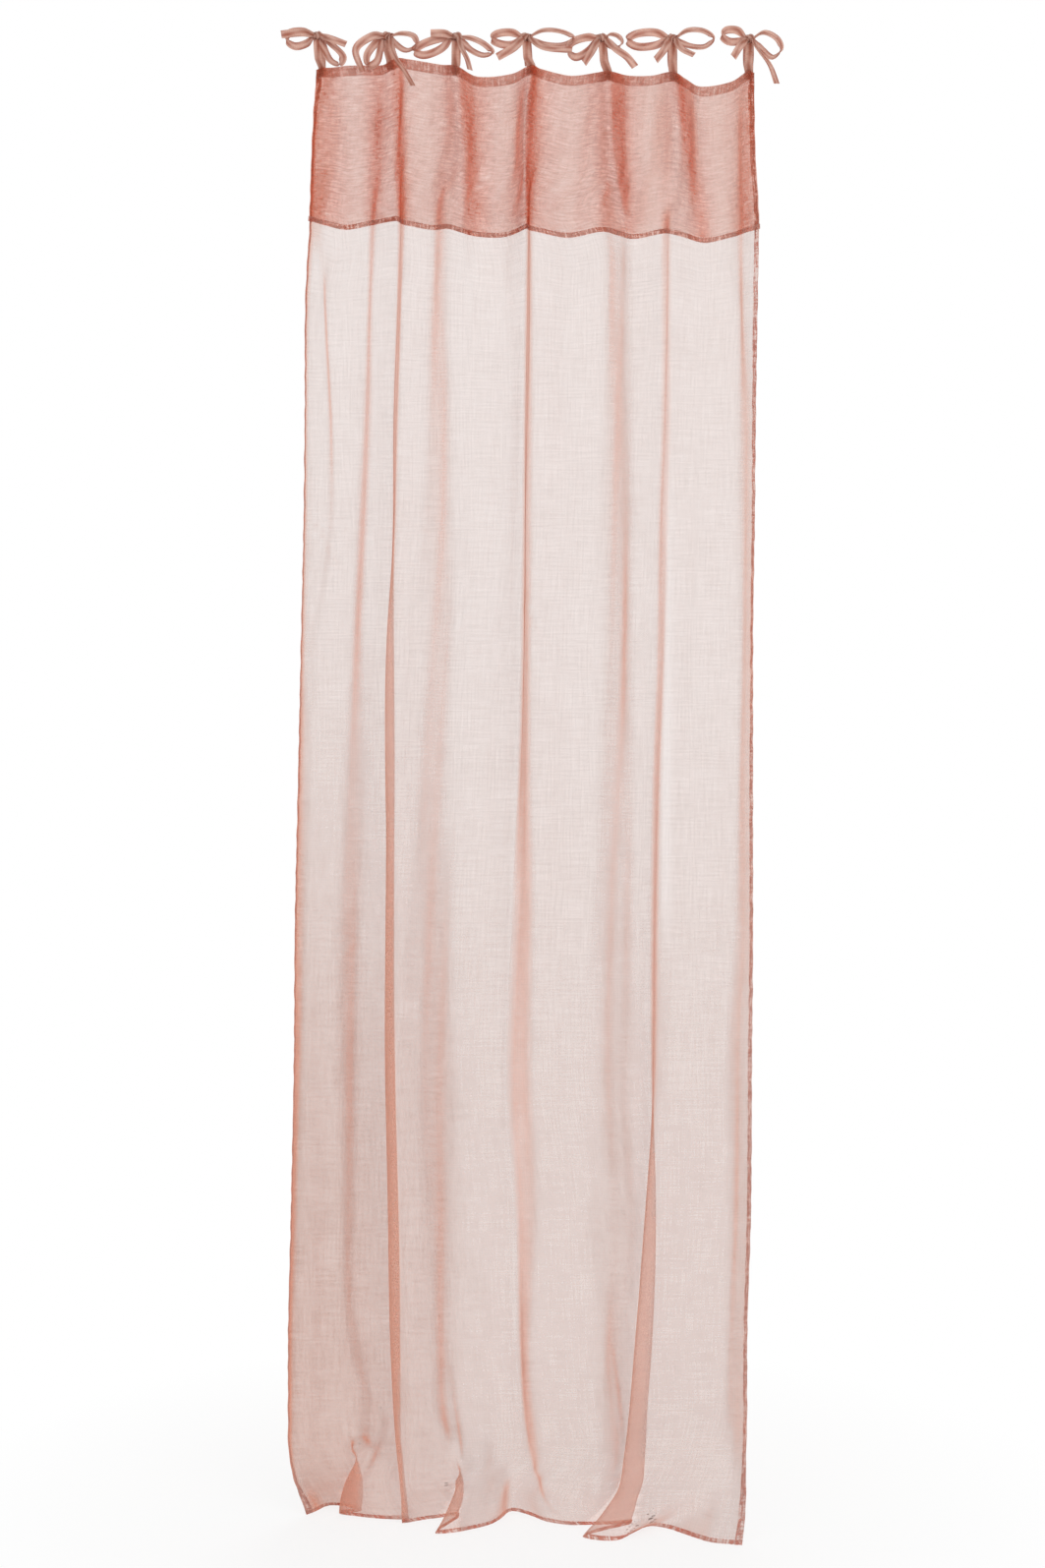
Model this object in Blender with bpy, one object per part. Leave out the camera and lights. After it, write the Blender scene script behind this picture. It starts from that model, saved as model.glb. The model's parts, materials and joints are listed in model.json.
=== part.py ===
import math

import bmesh
import bpy
import numpy as np
from mathutils import Vector

# Voile curtain with seven tied ribbons, hanging from a round rod that is not part of it.
# X runs along the rod to the right as seen, Y goes back into the room, Z is up.
# The origin is on the rod's axis at the middle of the curtain.

# Sizes in metres
DROP = 2.507
FLAT_WIDTH = 1.10
STEM_DROP = 0.0105
FLAP_LENGTH = 0.273
HEADING_DEPTH = -0.008
HUNG_WIDTH = 0.7805
CLOTH = 0.0005
HEM_CLOTH = 0.0011
TAPE_CLOTH = 0.0007
SEAM_GAP = 0.0003
ROD_RADIUS = 0.021
ROD_CLEARANCE = 0.0008
RIBBON_WIDTH = 0.013
RIBBON_CLOTH = 0.0008
TAB_LENGTH = 0.014
KNOT_WIDTH = 0.016
KNOT_HEIGHT = 0.013
KNOT_DEPTH = 0.009
KNOT_ROUND = 0.0025
KNOT_ANGLE = math.radians(130.0)
LOOP_STEP = math.radians(26.0)
TAB_RISE = 0.0015
TAB_FIT = 0.88
GRIP = 0.34
GRIP_REACH = 0.022
CHART_STEP = 0.001675
DEPTH_STEP = 0.001

# Where a ribbon starts inside its knot, as shares of the knot's own size
LOOP_START = 0.32
TAIL_START = 0.24
TAIL_STEP = 0.2

# How the depth of the folds is found: the least and the most fullness tried, the halvings
# between them, and the facets that each stretch is measured with
LEAST_FULLNESS = 0.6
MOST_FULLNESS = 2.2
HALVINGS = 18
MEASURING_FACETS = 8

# The folds are laid out on a chart, drawn as the hanging curtain looks from the front.
# Chart columns run along the rod, chart rows run down from it, and depths are in depth steps.
# The folds stretch with the width and the drop. The bows and the bends of the heading edge
# keep their own size, at one chart step for each column and row.
CHART_WIDTH = 466.0
CHART_DROP = 1496.8
CHART_MID = 540.0
CHART_ROD_ROW = 53.2
CHART_LEAN = 0.00729
CHART_EYE_DISTANCE = 1970.3
EYE_COLUMN = 531.5
EYE_ROW = 797.5
HEADING_ROW = 72.0
TAPE_ROW = 82.0
FLAP_HEM_TOP_ROW = 230.0
FLAP_ROW = 235.0
GATHER_ROW = 150.0
FREE_ROW = 420.0
BREAK_ROW = 1440.0
REST_ROW = 1510.0
FLOOR_ROW = 1550.0
STEP_X = HUNG_WIDTH / CHART_WIDTH
HEADING_DROP = ROD_RADIUS + STEM_DROP
EYE_DISTANCE = CHART_EYE_DISTANCE * DROP / CHART_DROP

# Row of the chart, then the column of each fold line, then its depth.
FOLDS = [
    (72,
     [322, 327, 337, 352, 376, 390, 397, 405, 414, 432, 450, 463, 486, 521, 540, 550, 580, 606,
      618, 640, 662, 685, 697, 712, 744, 762, 767],
     [-4, 2, -24, -34, -26, -20, -18, -30, -46, -40, -24, -6, -44, -26, -9, -44, -36, -14,
      2, -42, -28, 2, -20, -44, -24, 4, -4]),
    (150,
     [318, 323, 344, 356, 378, 391, 399, 405, 415, 434, 452, 463, 487, 522, 533, 549, 580, 604,
      620, 640, 662, 686, 698, 714, 744, 757, 768],
     [26, 2, -28, -26, -16, 8, 12, 4, -36, -32, -12, 14, -38, -22, 20, -36, -32, -16,
      10, -38, -26, 14, -2, -38, -24, 8, 24]),
    (235,
     [315, 320, 330, 352, 374, 384, 403, 407, 412, 438, 456, 470, 488, 514, 535, 542, 577, 612,
      630, 643, 672, 682, 697, 716, 742, 757, 772],
     [22, 2, -20, -18, -16, 6, 12, 4, -28, -26, 8, 14, 0, 8, 20, -30, -26, -20,
      4, 16, 20, -12, -18, -24, -20, 6, 24]),
    (300,
     [311, 316, 329, 335, 373, 381, 403, 406, 409, 434, 456, 474, 490, 512, 534, 542, 577, 614,
      630, 643, 672, 682, 697, 716, 748, 757, 771],
     [22, 0, -6, -20, -14, 6, 10, 0, -28, -26, 12, 16, 18, 16, 24, -30, -26, -22,
      6, 22, 24, -12, -18, -22, -22, 6, 22]),
    (420,
     [310, 314, 332, 339, 368, 380, 400, 402, 406, 432, 462, 480, 500, 520, 533, 541, 580, 614,
      630, 643, 672, 681, 697, 716, 750, 760, 769],
     [22, 0, -6, -20, -16, 8, 12, -8, -30, -26, 16, 18, 18, 20, 26, -32, -28, -24,
      4, 24, 26, -10, -16, -20, -20, 4, 22]),
    (520,
     [309, 313, 332, 342, 362, 376, 399, 401, 405, 430, 463, 480, 500, 518, 532, 540, 580, 612,
      628, 645, 670, 679, 697, 716, 750, 760, 768],
     [22, 0, -8, -18, -16, 8, 12, -8, -32, -26, 18, 18, 20, 22, 26, -32, -28, -24,
      2, 26, 26, -8, -14, -18, -20, 4, 22]),
    (660,
     [306, 309, 317, 326, 356, 370, 400, 394, 403, 428, 462, 480, 500, 515, 530, 540, 580, 610,
      630, 645, 669, 677, 697, 716, 750, 760, 766],
     [22, 0, -10, -16, -14, 10, 14, -12, -32, -24, 18, 20, 20, 22, 26, -32, -28, -24,
      2, 26, 26, -6, -12, -18, -20, 2, 20]),
    (800,
     [303, 308, 316, 325, 348, 372, 401, 392, 404, 424, 460, 480, 500, 514, 527, 540, 580, 608,
      630, 646, 664, 672, 695, 716, 748, 758, 766],
     [20, 0, -12, -14, -12, 14, 16, -14, -32, -24, 18, 20, 20, 22, 24, -30, -28, -24,
      4, 26, 26, -4, -12, -16, -20, 2, 18]),
    (940,
     [300, 305, 312, 325, 345, 368, 401, 392, 404, 426, 460, 480, 500, 512, 521, 543, 580, 606,
      630, 646, 661, 670, 694, 716, 746, 758, 766],
     [20, 0, -10, -12, -8, 16, 18, -14, -32, -24, 18, 20, 20, 22, 24, -28, -28, -24,
      4, 24, 24, -2, -12, -16, -18, 2, 18]),
    (1080,
     [299, 304, 312, 328, 343, 366, 402, 391, 404, 428, 462, 480, 498, 508, 515, 543, 580, 606,
      630, 648, 662, 667, 692, 716, 738, 752, 765],
     [20, 0, -10, -6, -4, 18, 20, -14, -32, -24, 18, 20, 20, 20, 22, -28, -28, -22,
      4, 22, 24, 0, -12, -16, -18, 4, 22]),
    (1230,
     [296, 301, 311, 330, 345, 365, 405, 394, 407, 432, 464, 480, 500, 512, 524, 546, 580, 604,
      630, 648, 667, 657, 690, 716, 740, 752, 764],
     [20, 0, -8, -4, -2, 16, 20, -12, -30, -24, 14, 18, 18, 20, 20, -20, -26, -20,
      4, 20, 26, -8, -14, -18, -18, 4, 22]),
    (1380,
     [293, 298, 310, 330, 354, 370, 407, 398, 411, 436, 462, 480, 500, 516, 528, 540, 580, 612,
      622, 634, 662, 645, 684, 712, 738, 750, 760],
     [18, -2, -8, -4, 2, 18, 22, -10, -30, -24, 8, 14, 18, 20, 20, -14, -22, -18,
      0, 18, 24, -12, -20, -22, -20, 2, 20]),
    (1440,
     [293, 298, 310, 340, 362, 386, 407, 401, 414, 440, 466, 484, 504, 520, 532, 545, 584, 612,
      626, 636, 658, 640, 682, 712, 738, 750, 760],
     [14, -4, -10, -4, 4, 20, 22, -8, -30, -26, 8, 14, 18, 20, 20, -12, -22, -18,
      2, 20, 26, -14, -26, -30, -26, -4, 14]),
    (1480,
     [294, 299, 312, 362, 364, 384, 409, 404, 417, 460, 472, 488, 506, 522, 539, 551, 586, 610,
      624, 636, 656, 635, 678, 712, 738, 750, 759],
     [18, 2, 0, 16, -4, 14, 20, -12, -28, -6, 0, 4, 20, 28, 22, -10, -22, -28,
      -10, 14, 26, -30, -34, -38, -38, -24, -8]),
    (1510,
     [299, 305, 318, 369, 351, 380, 412, 406, 420, 472, 466, 488, 508, 522, 545, 556, 586, 606,
      620, 634, 653, 628, 668, 708, 736, 749, 759],
     [26, 14, 26, 34, 10, 10, 18, -14, -16, 16, -20, -14, 14, 38, 20, -8, -20, -36,
      -20, 6, 20, -44, -40, -40, -50, -46, -36]),
    (1530,
     [305, 311, 325, 369, 347, 382, 414, 408, 424, 469, 456, 480, 506, 521, 550, 566, 590, 606,
      620, 634, 647, 612, 646, 695, 730, 746, 758],
     [30, 28, 54, 44, 26, 12, 14, -12, 0, 24, -34, -28, 4, 50, 14, -4, -14, -20,
      -12, 2, 12, -50, -56, -28, -62, -66, -62]),
    (1550,
     [312, 320, 335, 367, 346, 384, 416, 409, 436, 466, 443, 466, 501, 521, 556, 575, 592, 606,
      618, 630, 642, 593, 627, 662, 722, 744, 755],
     [33, 46, 77, 52, 40, 17, 12, -2, 16, 32, -46, -38, -2, 56, 10, -3, -5, -4,
      -2, 0, 4, -56, -71, -6, -74, -84, -86]),
]

# Chart rows that the heading edge and the flap's hem follow, fold line by fold line
HEADING_EDGE = [71, 69, 69, 67, 66.5, 66, 62, 59, 60, 63, 66, 66.5, 78, 75, 66, 70, 77, 74,
                72, 77, 77, 73, 80, 88, 83, 72, 74]
FLAP_EDGE = [225, 226, 229, 234, 230, 228, 225, 226, 229, 234, 233, 237, 241, 241, 233, 235, 242,
             236, 240, 243, 238, 238, 242, 247, 242, 237, 233]

# Facets across each stretch between two fold lines, and the rows of facets down the cloth
FACETS = [1, 1, 2, 2, 2, 2, 2, 2, 2, 3, 2, 2, 2, 2, 2, 3, 3, 2, 2, 3, 2, 2, 2, 3, 2, 1]
ROWS = [72, 82, 112, 150, 190, 230, 235, 300, 360, 420, 520, 620, 720, 830, 940, 1060, 1180,
        1290, 1380, 1440, 1480, 1510, 1530, 1544, 1550]
BOTTOM_HEM_ROW = 1544.0

# Fold line that each ribbon is sewn to
TIE_LINES = [1, 6, 11, 14, 18, 21, 25]

# The ribbons of each bow: steps of its path, how far its width turns edge-on in degrees at the
# start and at the end, and chart column, chart row and depth of each point
BOWS = [
    {"knot": (323, 38), "ribbons": [
        (7, 60, 60, [(323, 38, -18), (308, 32, -26), (294, 34, -30), (291, 41, -33), (300, 47, -32),
                     (312, 44, -27), (323, 38, -18)]),
        (5, 10, 40, [(323, 38, -18), (308, 33, -41), (286, 35, -43)]),
        (5, 10, 20, [(323, 38, -18), (338, 40, -42), (352, 45, -44)]),
        (7, 45, 45, [(323, 38, -18), (337, 45, -29), (349, 58, -40), (345, 65, -43), (337, 62, -42),
                     (330, 50, -32), (323, 38, -18)]),
    ]},
    {"knot": (394, 40), "ribbons": [
        (7, 50, 50, [(394, 40, -18), (383, 43, -29), (373, 57, -36), (375, 67, -38), (383, 63, -38),
                     (387, 50, -32), (394, 40, -18)]),
        (7, 50, 50, [(394, 40, -18), (408, 34, -26), (421, 37, -31), (423, 46, -34), (414, 51, -34),
                     (404, 46, -27), (394, 40, -18)]),
        (5, 10, 40, [(394, 40, -18), (378, 37, -42), (362, 50, -47), (368, 72, -47)]),
        (5, 60, 60, [(394, 40, -18), (401, 56, -44), (411, 72, -54), (420, 87, -56)]),
    ]},
    {"knot": (464, 39), "ribbons": [
        (7, 45, 45, [(464, 39, -18), (448, 39, -28), (430, 45, -34), (421, 52, -36), (430, 56, -36),
                     (448, 50, -31), (464, 39, -18)]),
        (5, 10, 20, [(464, 39, -18), (451, 34, -42), (438, 34, -44)]),
        (7, 45, 45, [(464, 39, -18), (480, 39, -28), (494, 46, -34), (500, 53, -36), (492, 56, -36),
                     (478, 50, -31), (464, 39, -18)]),
        (5, 60, 60, [(464, 39, -18), (470, 50, -42), (475, 60, -52), (478, 71, -54)]),
    ]},
    {"knot": (535, 39), "ribbons": [
        (7, 60, 60, [(535, 39, -18), (520, 33, -26), (504, 35, -30), (500, 40, -33), (510, 45, -32),
                     (522, 45, -27), (535, 39, -18)]),
        (7, 60, 60, [(535, 39, -18), (552, 31, -25), (574, 33, -30), (583, 39, -33), (573, 45, -32),
                     (552, 44, -27), (535, 39, -18)]),
        (5, 20, 20, [(535, 39, -18), (523, 48, -44), (506, 58, -48)]),
        (5, 30, 20, [(535, 39, -18), (553, 48, -44), (582, 51, -48)]),
    ]},
    {"knot": (612, 42), "ribbons": [
        (7, 50, 50, [(612, 42, -18), (597, 38, -27), (582, 43, -32), (577, 51, -36), (585, 58, -36),
                     (598, 52, -30), (612, 42, -18)]),
        (7, 60, 60, [(612, 42, -18), (621, 35, -25), (629, 37, -28), (632, 43, -30), (628, 48, -30),
                     (621, 47, -26), (612, 42, -18)]),
        (5, 10, 10, [(612, 42, -18), (627, 50, -44), (638, 58, -52), (646, 68, -54)]),
        (5, 40, 40, [(612, 42, -18), (602, 52, -44), (594, 64, -52)]),
    ]},
    {"knot": (684, 39), "ribbons": [
        (7, 50, 50, [(684, 39, -18), (666, 33, -27), (646, 35, -32), (638, 41, -34), (647, 47, -34),
                     (667, 46, -29), (684, 39, -18)]),
        (7, 50, 50, [(684, 39, -18), (699, 31, -26), (717, 32, -31), (725, 39, -34), (717, 47, -34),
                     (700, 46, -28), (684, 39, -18)]),
        (5, 20, 30, [(684, 39, -18), (694, 50, -44), (706, 56, -48)]),
        (5, 25, 40, [(684, 39, -18), (675, 51, -45), (667, 61, -51)]),
    ]},
    {"knot": (762, 37), "ribbons": [
        (7, 60, 60, [(762, 37, -18), (750, 31, -25), (738, 31, -29), (734, 36, -32), (741, 42, -31),
                     (752, 42, -26), (762, 37, -18)]),
        (7, 45, 45, [(762, 37, -18), (777, 33, -27), (791, 40, -34), (794, 50, -38), (786, 58, -38),
                     (775, 50, -31), (762, 37, -18)]),
        (5, 60, 60, [(762, 37, -18), (771, 50, -43), (783, 66, -54), (790, 85, -58)]),
        (5, 30, 30, [(762, 37, -18), (752, 48, -44), (746, 58, -50)]),
    ]},
]


def clear_scene():
    for item in list(bpy.data.objects):
        bpy.data.objects.remove(item, do_unlink=True)


def make_material(name, colour, roughness, alpha=1.0):
    material = bpy.data.materials.new(name)
    material.use_nodes = True
    shader = material.node_tree.nodes["Principled BSDF"]
    shader.inputs["Base Color"].default_value = (colour[0], colour[1], colour[2], 1.0)
    shader.inputs["Roughness"].default_value = roughness
    shader.inputs["Alpha"].default_value = alpha
    return material


def hermite(keys, values, at):
    # smooth curve through the values of each fold line, row by row
    keys = np.asarray(keys, float)
    values = np.asarray(values, float)
    slopes = np.zeros_like(values)
    steps = np.diff(keys)[:, None]
    rises = np.diff(values, axis=0) / steps
    slopes[1:-1] = (rises[:-1] * steps[1:] + rises[1:] * steps[:-1]) / (steps[:-1] + steps[1:])
    turning = rises[:-1] * rises[1:] <= 0.0
    slopes[1:-1][turning] = 0.0
    slopes[0] = rises[0]
    slopes[-1] = rises[-1]
    k = int(np.clip(np.searchsorted(keys, at) - 1, 0, len(keys) - 2))
    span = keys[k + 1] - keys[k]
    t = (at - keys[k]) / span
    a = 2 * t ** 3 - 3 * t ** 2 + 1
    b = t ** 3 - 2 * t ** 2 + t
    c = -2 * t ** 3 + 3 * t ** 2
    d = t ** 3 - t ** 2
    return a * values[k] + b * span * slopes[k] + c * values[k + 1] + d * span * slopes[k + 1]


def fall(row):
    # how far below the rod's axis a chart row hangs
    rows = [CHART_ROD_ROW, HEADING_ROW, FLAP_ROW, FLOOR_ROW]
    falls = [0.0, HEADING_DROP, HEADING_DROP + FLAP_LENGTH, DROP]
    return np.interp(row, rows, falls)


def nearer(flat_x, flat_z, depth):
    # what is drawn at one place looks larger in front and smaller behind
    eye_x = (EYE_COLUMN - CHART_MID + (EYE_ROW - CHART_ROD_ROW) * CHART_LEAN) * STEP_X
    eye_z = -fall(EYE_ROW)
    scale = 1.0 + depth / EYE_DISTANCE
    return np.stack([eye_x + (flat_x - eye_x) * scale, depth,
                     eye_z + (flat_z - eye_z) * scale], axis=-1)


def place(column, row, shift, depth):
    # chart column, chart row, rows that it is shifted down by, and depth to a point in the room
    lean_x = (row + shift - CHART_ROD_ROW) * CHART_LEAN
    lean_z = (column - CHART_MID) * CHART_LEAN
    flat_x = (column - CHART_MID + lean_x) * STEP_X
    flat_z = -fall(row) - (shift - lean_z) * CHART_STEP
    return nearer(flat_x, flat_z, depth)


def place_bow(middle, column, row, depth):
    # the same for a bow, which keeps its size either side of its knot's column
    lean_x = (row - CHART_ROD_ROW) * CHART_LEAN
    lean_z = (column - CHART_MID) * CHART_LEAN
    flat_x = (middle - CHART_MID) * STEP_X + (column - middle + lean_x) * CHART_STEP
    flat_z = -(row - CHART_ROD_ROW - lean_z) * CHART_STEP
    return nearer(flat_x, flat_z, depth)


def spline(points, facets):
    # rounded curve through the points, with a number of facets on each stretch
    points = np.asarray(points, float)
    first = 2 * points[0] - points[1]
    last = 2 * points[-1] - points[-2]
    padded = np.vstack([first, points, last])
    gaps = np.sqrt(np.maximum(np.linalg.norm(np.diff(padded, axis=0), axis=1), 1e-5))
    knots = np.concatenate([[0.0], np.cumsum(gaps)])
    out = []
    for i, count in enumerate(facets):
        p0, p1, p2, p3 = padded[i:i + 4]
        t0, t1, t2, t3 = knots[i:i + 4]
        for j in range(count):
            t = t1 + (t2 - t1) * j / count
            a1 = (t1 - t) / (t1 - t0) * p0 + (t - t0) / (t1 - t0) * p1
            a2 = (t2 - t) / (t2 - t1) * p1 + (t - t1) / (t2 - t1) * p2
            a3 = (t3 - t) / (t3 - t2) * p2 + (t - t2) / (t3 - t2) * p3
            b1 = (t2 - t) / (t2 - t0) * a1 + (t - t0) / (t2 - t0) * a2
            b2 = (t3 - t) / (t3 - t1) * a2 + (t - t1) / (t3 - t1) * a3
            out.append((t2 - t) / (t2 - t1) * b1 + (t - t1) / (t2 - t1) * b2)
    out.append(points[-1])
    return np.array(out)


def blend(low, high, value):
    t = min(max((value - low) / (high - low), 0.0), 1.0)
    return t * t * (3 - 2 * t)


CHART_ROWS = [entry[0] for entry in FOLDS]
CHART_COLUMNS = [entry[1] for entry in FOLDS]
CHART_DEPTHS = [entry[2] for entry in FOLDS]


def fold_lines(row, fullness):
    # the points of one row of the cloth on its fold lines
    columns = hermite(CHART_ROWS, CHART_COLUMNS, row)
    depths = hermite(CHART_ROWS, CHART_DEPTHS, row) * DEPTH_STEP
    anchor = HEADING_DEPTH * (1 - blend(HEADING_ROW, FLAP_ROW, row))
    depths = anchor + (depths - anchor) * fullness
    shift_rows = [HEADING_ROW, FLAP_ROW, FREE_ROW, FLOOR_ROW]
    shifts = [np.array(HEADING_EDGE) - HEADING_ROW, np.array(FLAP_EDGE) - FLAP_ROW,
              np.zeros(len(HEADING_EDGE)), np.zeros(len(HEADING_EDGE))]
    points = place(columns, row, hermite(shift_rows, shifts, row), depths)
    settled = blend(BREAK_ROW, FLOOR_ROW, row)
    points[:, 2] = points[:, 2] * (1 - settled) - fall(row) * settled
    return points


def cloth_row(row, facets):
    # one row of the cloth, its folds as deep as the cloth's own width asks for
    fine = [MEASURING_FACETS] * (len(HEADING_EDGE) - 1)
    low = LEAST_FULLNESS
    high = MOST_FULLNESS
    for _ in range(HALVINGS):
        middle = (low + high) / 2
        curve = spline(fold_lines(row, middle), fine)
        length = np.linalg.norm(np.diff(curve, axis=0), axis=1).sum()
        if length < FLAT_WIDTH:
            low = middle
        else:
            high = middle
    resting = blend(BREAK_ROW, REST_ROW, row) + 1 - blend(HEADING_ROW, GATHER_ROW, row)
    fullness = (low + high) / 2 * (1 - resting) + resting
    return spline(fold_lines(row, fullness), facets)


def cloth_grid():
    return np.array([cloth_row(row, FACETS) for row in ROWS])


def grid_normals(grid):
    across = np.gradient(grid, axis=1)
    down = np.gradient(grid, axis=0)
    normal = np.cross(down, across)
    normal /= np.linalg.norm(normal, axis=2)[:, :, None]
    return normal


def shell(name, grid, normals, offset, thickness, material):
    # a closed sheet: two skins either side of the grid and a rim all round
    rows, columns = grid.shape[:2]
    half = np.asarray(thickness)[:, :, None] / 2
    front = grid + normals * (offset + half)
    back = grid + normals * (offset - half)
    vertices = np.concatenate([front.reshape(-1, 3), back.reshape(-1, 3)])
    count = rows * columns
    faces = []
    for r in range(rows - 1):
        for c in range(columns - 1):
            a = r * columns + c
            b = a + 1
            d = a + columns
            e = d + 1
            faces.append((a, d, e, b))
            faces.append((a + count, b + count, e + count, d + count))
    rim = [c for c in range(columns)]
    rim += [r * columns + columns - 1 for r in range(1, rows)]
    rim += [(rows - 1) * columns + c for c in range(columns - 2, -1, -1)]
    rim += [r * columns for r in range(rows - 2, 0, -1)]
    for i, a in enumerate(rim):
        b = rim[(i + 1) % len(rim)]
        faces.append((a, b, b + count, a + count))
    return make_object(name, vertices, faces, material)


def make_object(name, vertices, faces, material):
    mesh = bpy.data.meshes.new(name)
    mesh.from_pydata([tuple(v) for v in vertices], [], faces)
    work = bmesh.new()
    work.from_mesh(mesh)
    bmesh.ops.triangulate(work, faces=work.faces[:])
    bmesh.ops.recalc_face_normals(work, faces=work.faces[:])
    if work.calc_volume(signed=True) < 0:
        bmesh.ops.reverse_faces(work, faces=work.faces[:])
    work.to_mesh(mesh)
    work.free()
    for polygon in mesh.polygons:
        polygon.use_smooth = True
    if material is not None:
        mesh.materials.append(material)
    item = bpy.data.objects.new(name, mesh)
    bpy.context.scene.collection.objects.link(item)
    return item


def ribbon_solid(name, path, widths, breadth, thickness, closed):
    # a flat ribbon along a path, given the direction and the size of its width at each point
    path = np.asarray(path, float)
    if closed:
        along = np.roll(path, -1, axis=0) - np.roll(path, 1, axis=0)
    else:
        along = np.gradient(path, axis=0)
    along /= np.linalg.norm(along, axis=1)[:, None]
    widths = widths - along * (widths * along).sum(axis=1)[:, None]
    widths /= np.linalg.norm(widths, axis=1)[:, None]
    out = np.cross(along, widths)
    w = widths * np.asarray(breadth)[:, None] / 2
    t = out * thickness / 2
    vertices = np.stack([path + w + t, path - w + t, path - w - t, path + w - t], axis=1)
    vertices = vertices.reshape(-1, 3)
    count = len(path)
    faces = []
    if not closed:
        last = (count - 1) * 4
        faces.append((0, 1, 2, 3))
        faces.append((last + 3, last + 2, last + 1, last))
    for i in range(count if closed else count - 1):
        n = (i + 1) % count
        for k in range(4):
            m = (k + 1) % 4
            faces.append((i * 4 + k, n * 4 + k, n * 4 + m, i * 4 + m))
    return make_object(name, vertices, faces, None)


def bow_ribbon(name, middle, knot, outward, downward, steps, turn_start, turn_end, points):
    # one loop or tail of a bow, starting in its knot and narrow where the knot grips it
    columns, rows, depths = np.array(points, float).T
    spots = place_bow(middle, columns, rows, depths * DEPTH_STEP)
    looped = points[0] == points[-1]
    side = math.copysign(1.0, spots[1][0] + spots[-2][0] - knot[0] * 2)
    if looped:
        spots[0] = knot + np.array([side * KNOT_WIDTH * LOOP_START, 0.0, 0.0])
        spots[-1] = spots[0]
    else:
        spots[0] = knot + np.array([side * KNOT_WIDTH * TAIL_START, 0.0, 0.0])
        spots[0] += (outward * KNOT_DEPTH + downward * KNOT_HEIGHT) * TAIL_STEP
    stretches = len(points) - 1
    facets = [steps // stretches + (1 if i < steps % stretches else 0) for i in range(stretches)]
    path = spline(spots, facets)
    reach = np.linalg.norm(path - knot, axis=1)
    breadth = RIBBON_WIDTH * np.clip(GRIP + (1 - GRIP) * reach / GRIP_REACH, GRIP, 1.0)
    turn = np.radians(np.linspace(turn_start, turn_end, len(path)))[:, None]
    depthwise = np.tile(np.array([0.0, 1.0, 0.0]), (len(path), 1))
    if looped:
        far = spots[stretches // 2]
        tilt = np.array([knot[2] - far[2], 0.0, far[0] - knot[0]])
        tilt /= np.linalg.norm(tilt)
        widths = depthwise * np.sin(turn) + tilt[None, :] * np.cos(turn)
        return ribbon_solid(name, path[:-1], widths[:-1], breadth[:-1], RIBBON_CLOTH, True)
    along = np.gradient(path, axis=0)
    in_front = np.stack([-along[:, 2], np.zeros(len(path)), along[:, 0]], axis=1)
    in_front /= np.linalg.norm(in_front, axis=1)[:, None]
    widths = in_front * np.cos(turn) + depthwise * np.sin(turn)
    return ribbon_solid(name, path, widths, breadth, RIBBON_CLOTH, False)


def rod_loop(name, base, knot, across):
    # the ribbon from the heading up the front of the rod, over its top and down its back
    radius = ROD_RADIUS + ROD_CLEARANCE + RIBBON_CLOTH / 2
    reach = math.hypot(base[1], base[2])
    bearing = math.atan2(base[2], base[1]) % (2 * math.pi)
    swing = math.acos(radius / reach)
    start = bearing - swing
    end = bearing + swing - 2 * math.pi
    steps = int(math.ceil((start - end) / LOOP_STEP))
    path = [base]
    widths = [across]
    for i in range(steps + 1):
        angle = start + (end - start) * i / steps
        near_knot = 1.0 - abs(angle - KNOT_ANGLE) / (start - end)
        share = min(max(near_knot, 0.0), 1.0)
        path.append(np.array([base[0] + (knot[0] - base[0]) * share,
                              radius * math.cos(angle), radius * math.sin(angle)]))
        widths.append(np.array([1.0, 0.0, 0.0]))
    breadth = np.full(len(path), RIBBON_WIDTH)
    return ribbon_solid(name, np.array(path), np.array(widths), breadth, RIBBON_CLOTH, True)


def knot_body(name, centre, outward, downward):
    # the knot is a block with its edges taken off, flat on the ribbon that it grips
    mesh = bpy.data.meshes.new(name)
    work = bmesh.new()
    bmesh.ops.create_cube(work, size=1.0)
    for vertex in work.verts:
        spot = (np.array([-1.0, 0.0, 0.0]) * vertex.co.x * KNOT_WIDTH
                + outward * vertex.co.y * KNOT_DEPTH + downward * vertex.co.z * KNOT_HEIGHT)
        vertex.co = Vector(spot + centre)
    bmesh.ops.bevel(work, geom=work.edges[:], offset=KNOT_ROUND, segments=1, affect="EDGES")
    bmesh.ops.triangulate(work, faces=work.faces[:])
    bmesh.ops.recalc_face_normals(work, faces=work.faces[:])
    work.to_mesh(mesh)
    work.free()
    item = bpy.data.objects.new(name, mesh)
    bpy.context.scene.collection.objects.link(item)
    return item


def join_solids(name, solids, material):
    # one body out of the solids that run into each other
    first = solids[0]
    for other in solids[1:]:
        modifier = first.modifiers.new("join", "BOOLEAN")
        modifier.operation = "UNION"
        modifier.solver = "MANIFOLD"
        modifier.object = other
    graph = bpy.context.evaluated_depsgraph_get()
    mesh = bpy.data.meshes.new_from_object(first.evaluated_get(graph), depsgraph=graph)
    mesh.name = name
    work = bmesh.new()
    work.from_mesh(mesh)
    bmesh.ops.triangulate(work, faces=work.faces[:])
    bmesh.ops.recalc_face_normals(work, faces=work.faces[:])
    work.to_mesh(mesh)
    work.free()
    mesh.materials.clear()
    mesh.materials.append(material)
    item = bpy.data.objects.new(name, mesh)
    bpy.context.scene.collection.objects.link(item)
    for solid in solids:
        bpy.data.objects.remove(solid, do_unlink=True)
    return item


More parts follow.
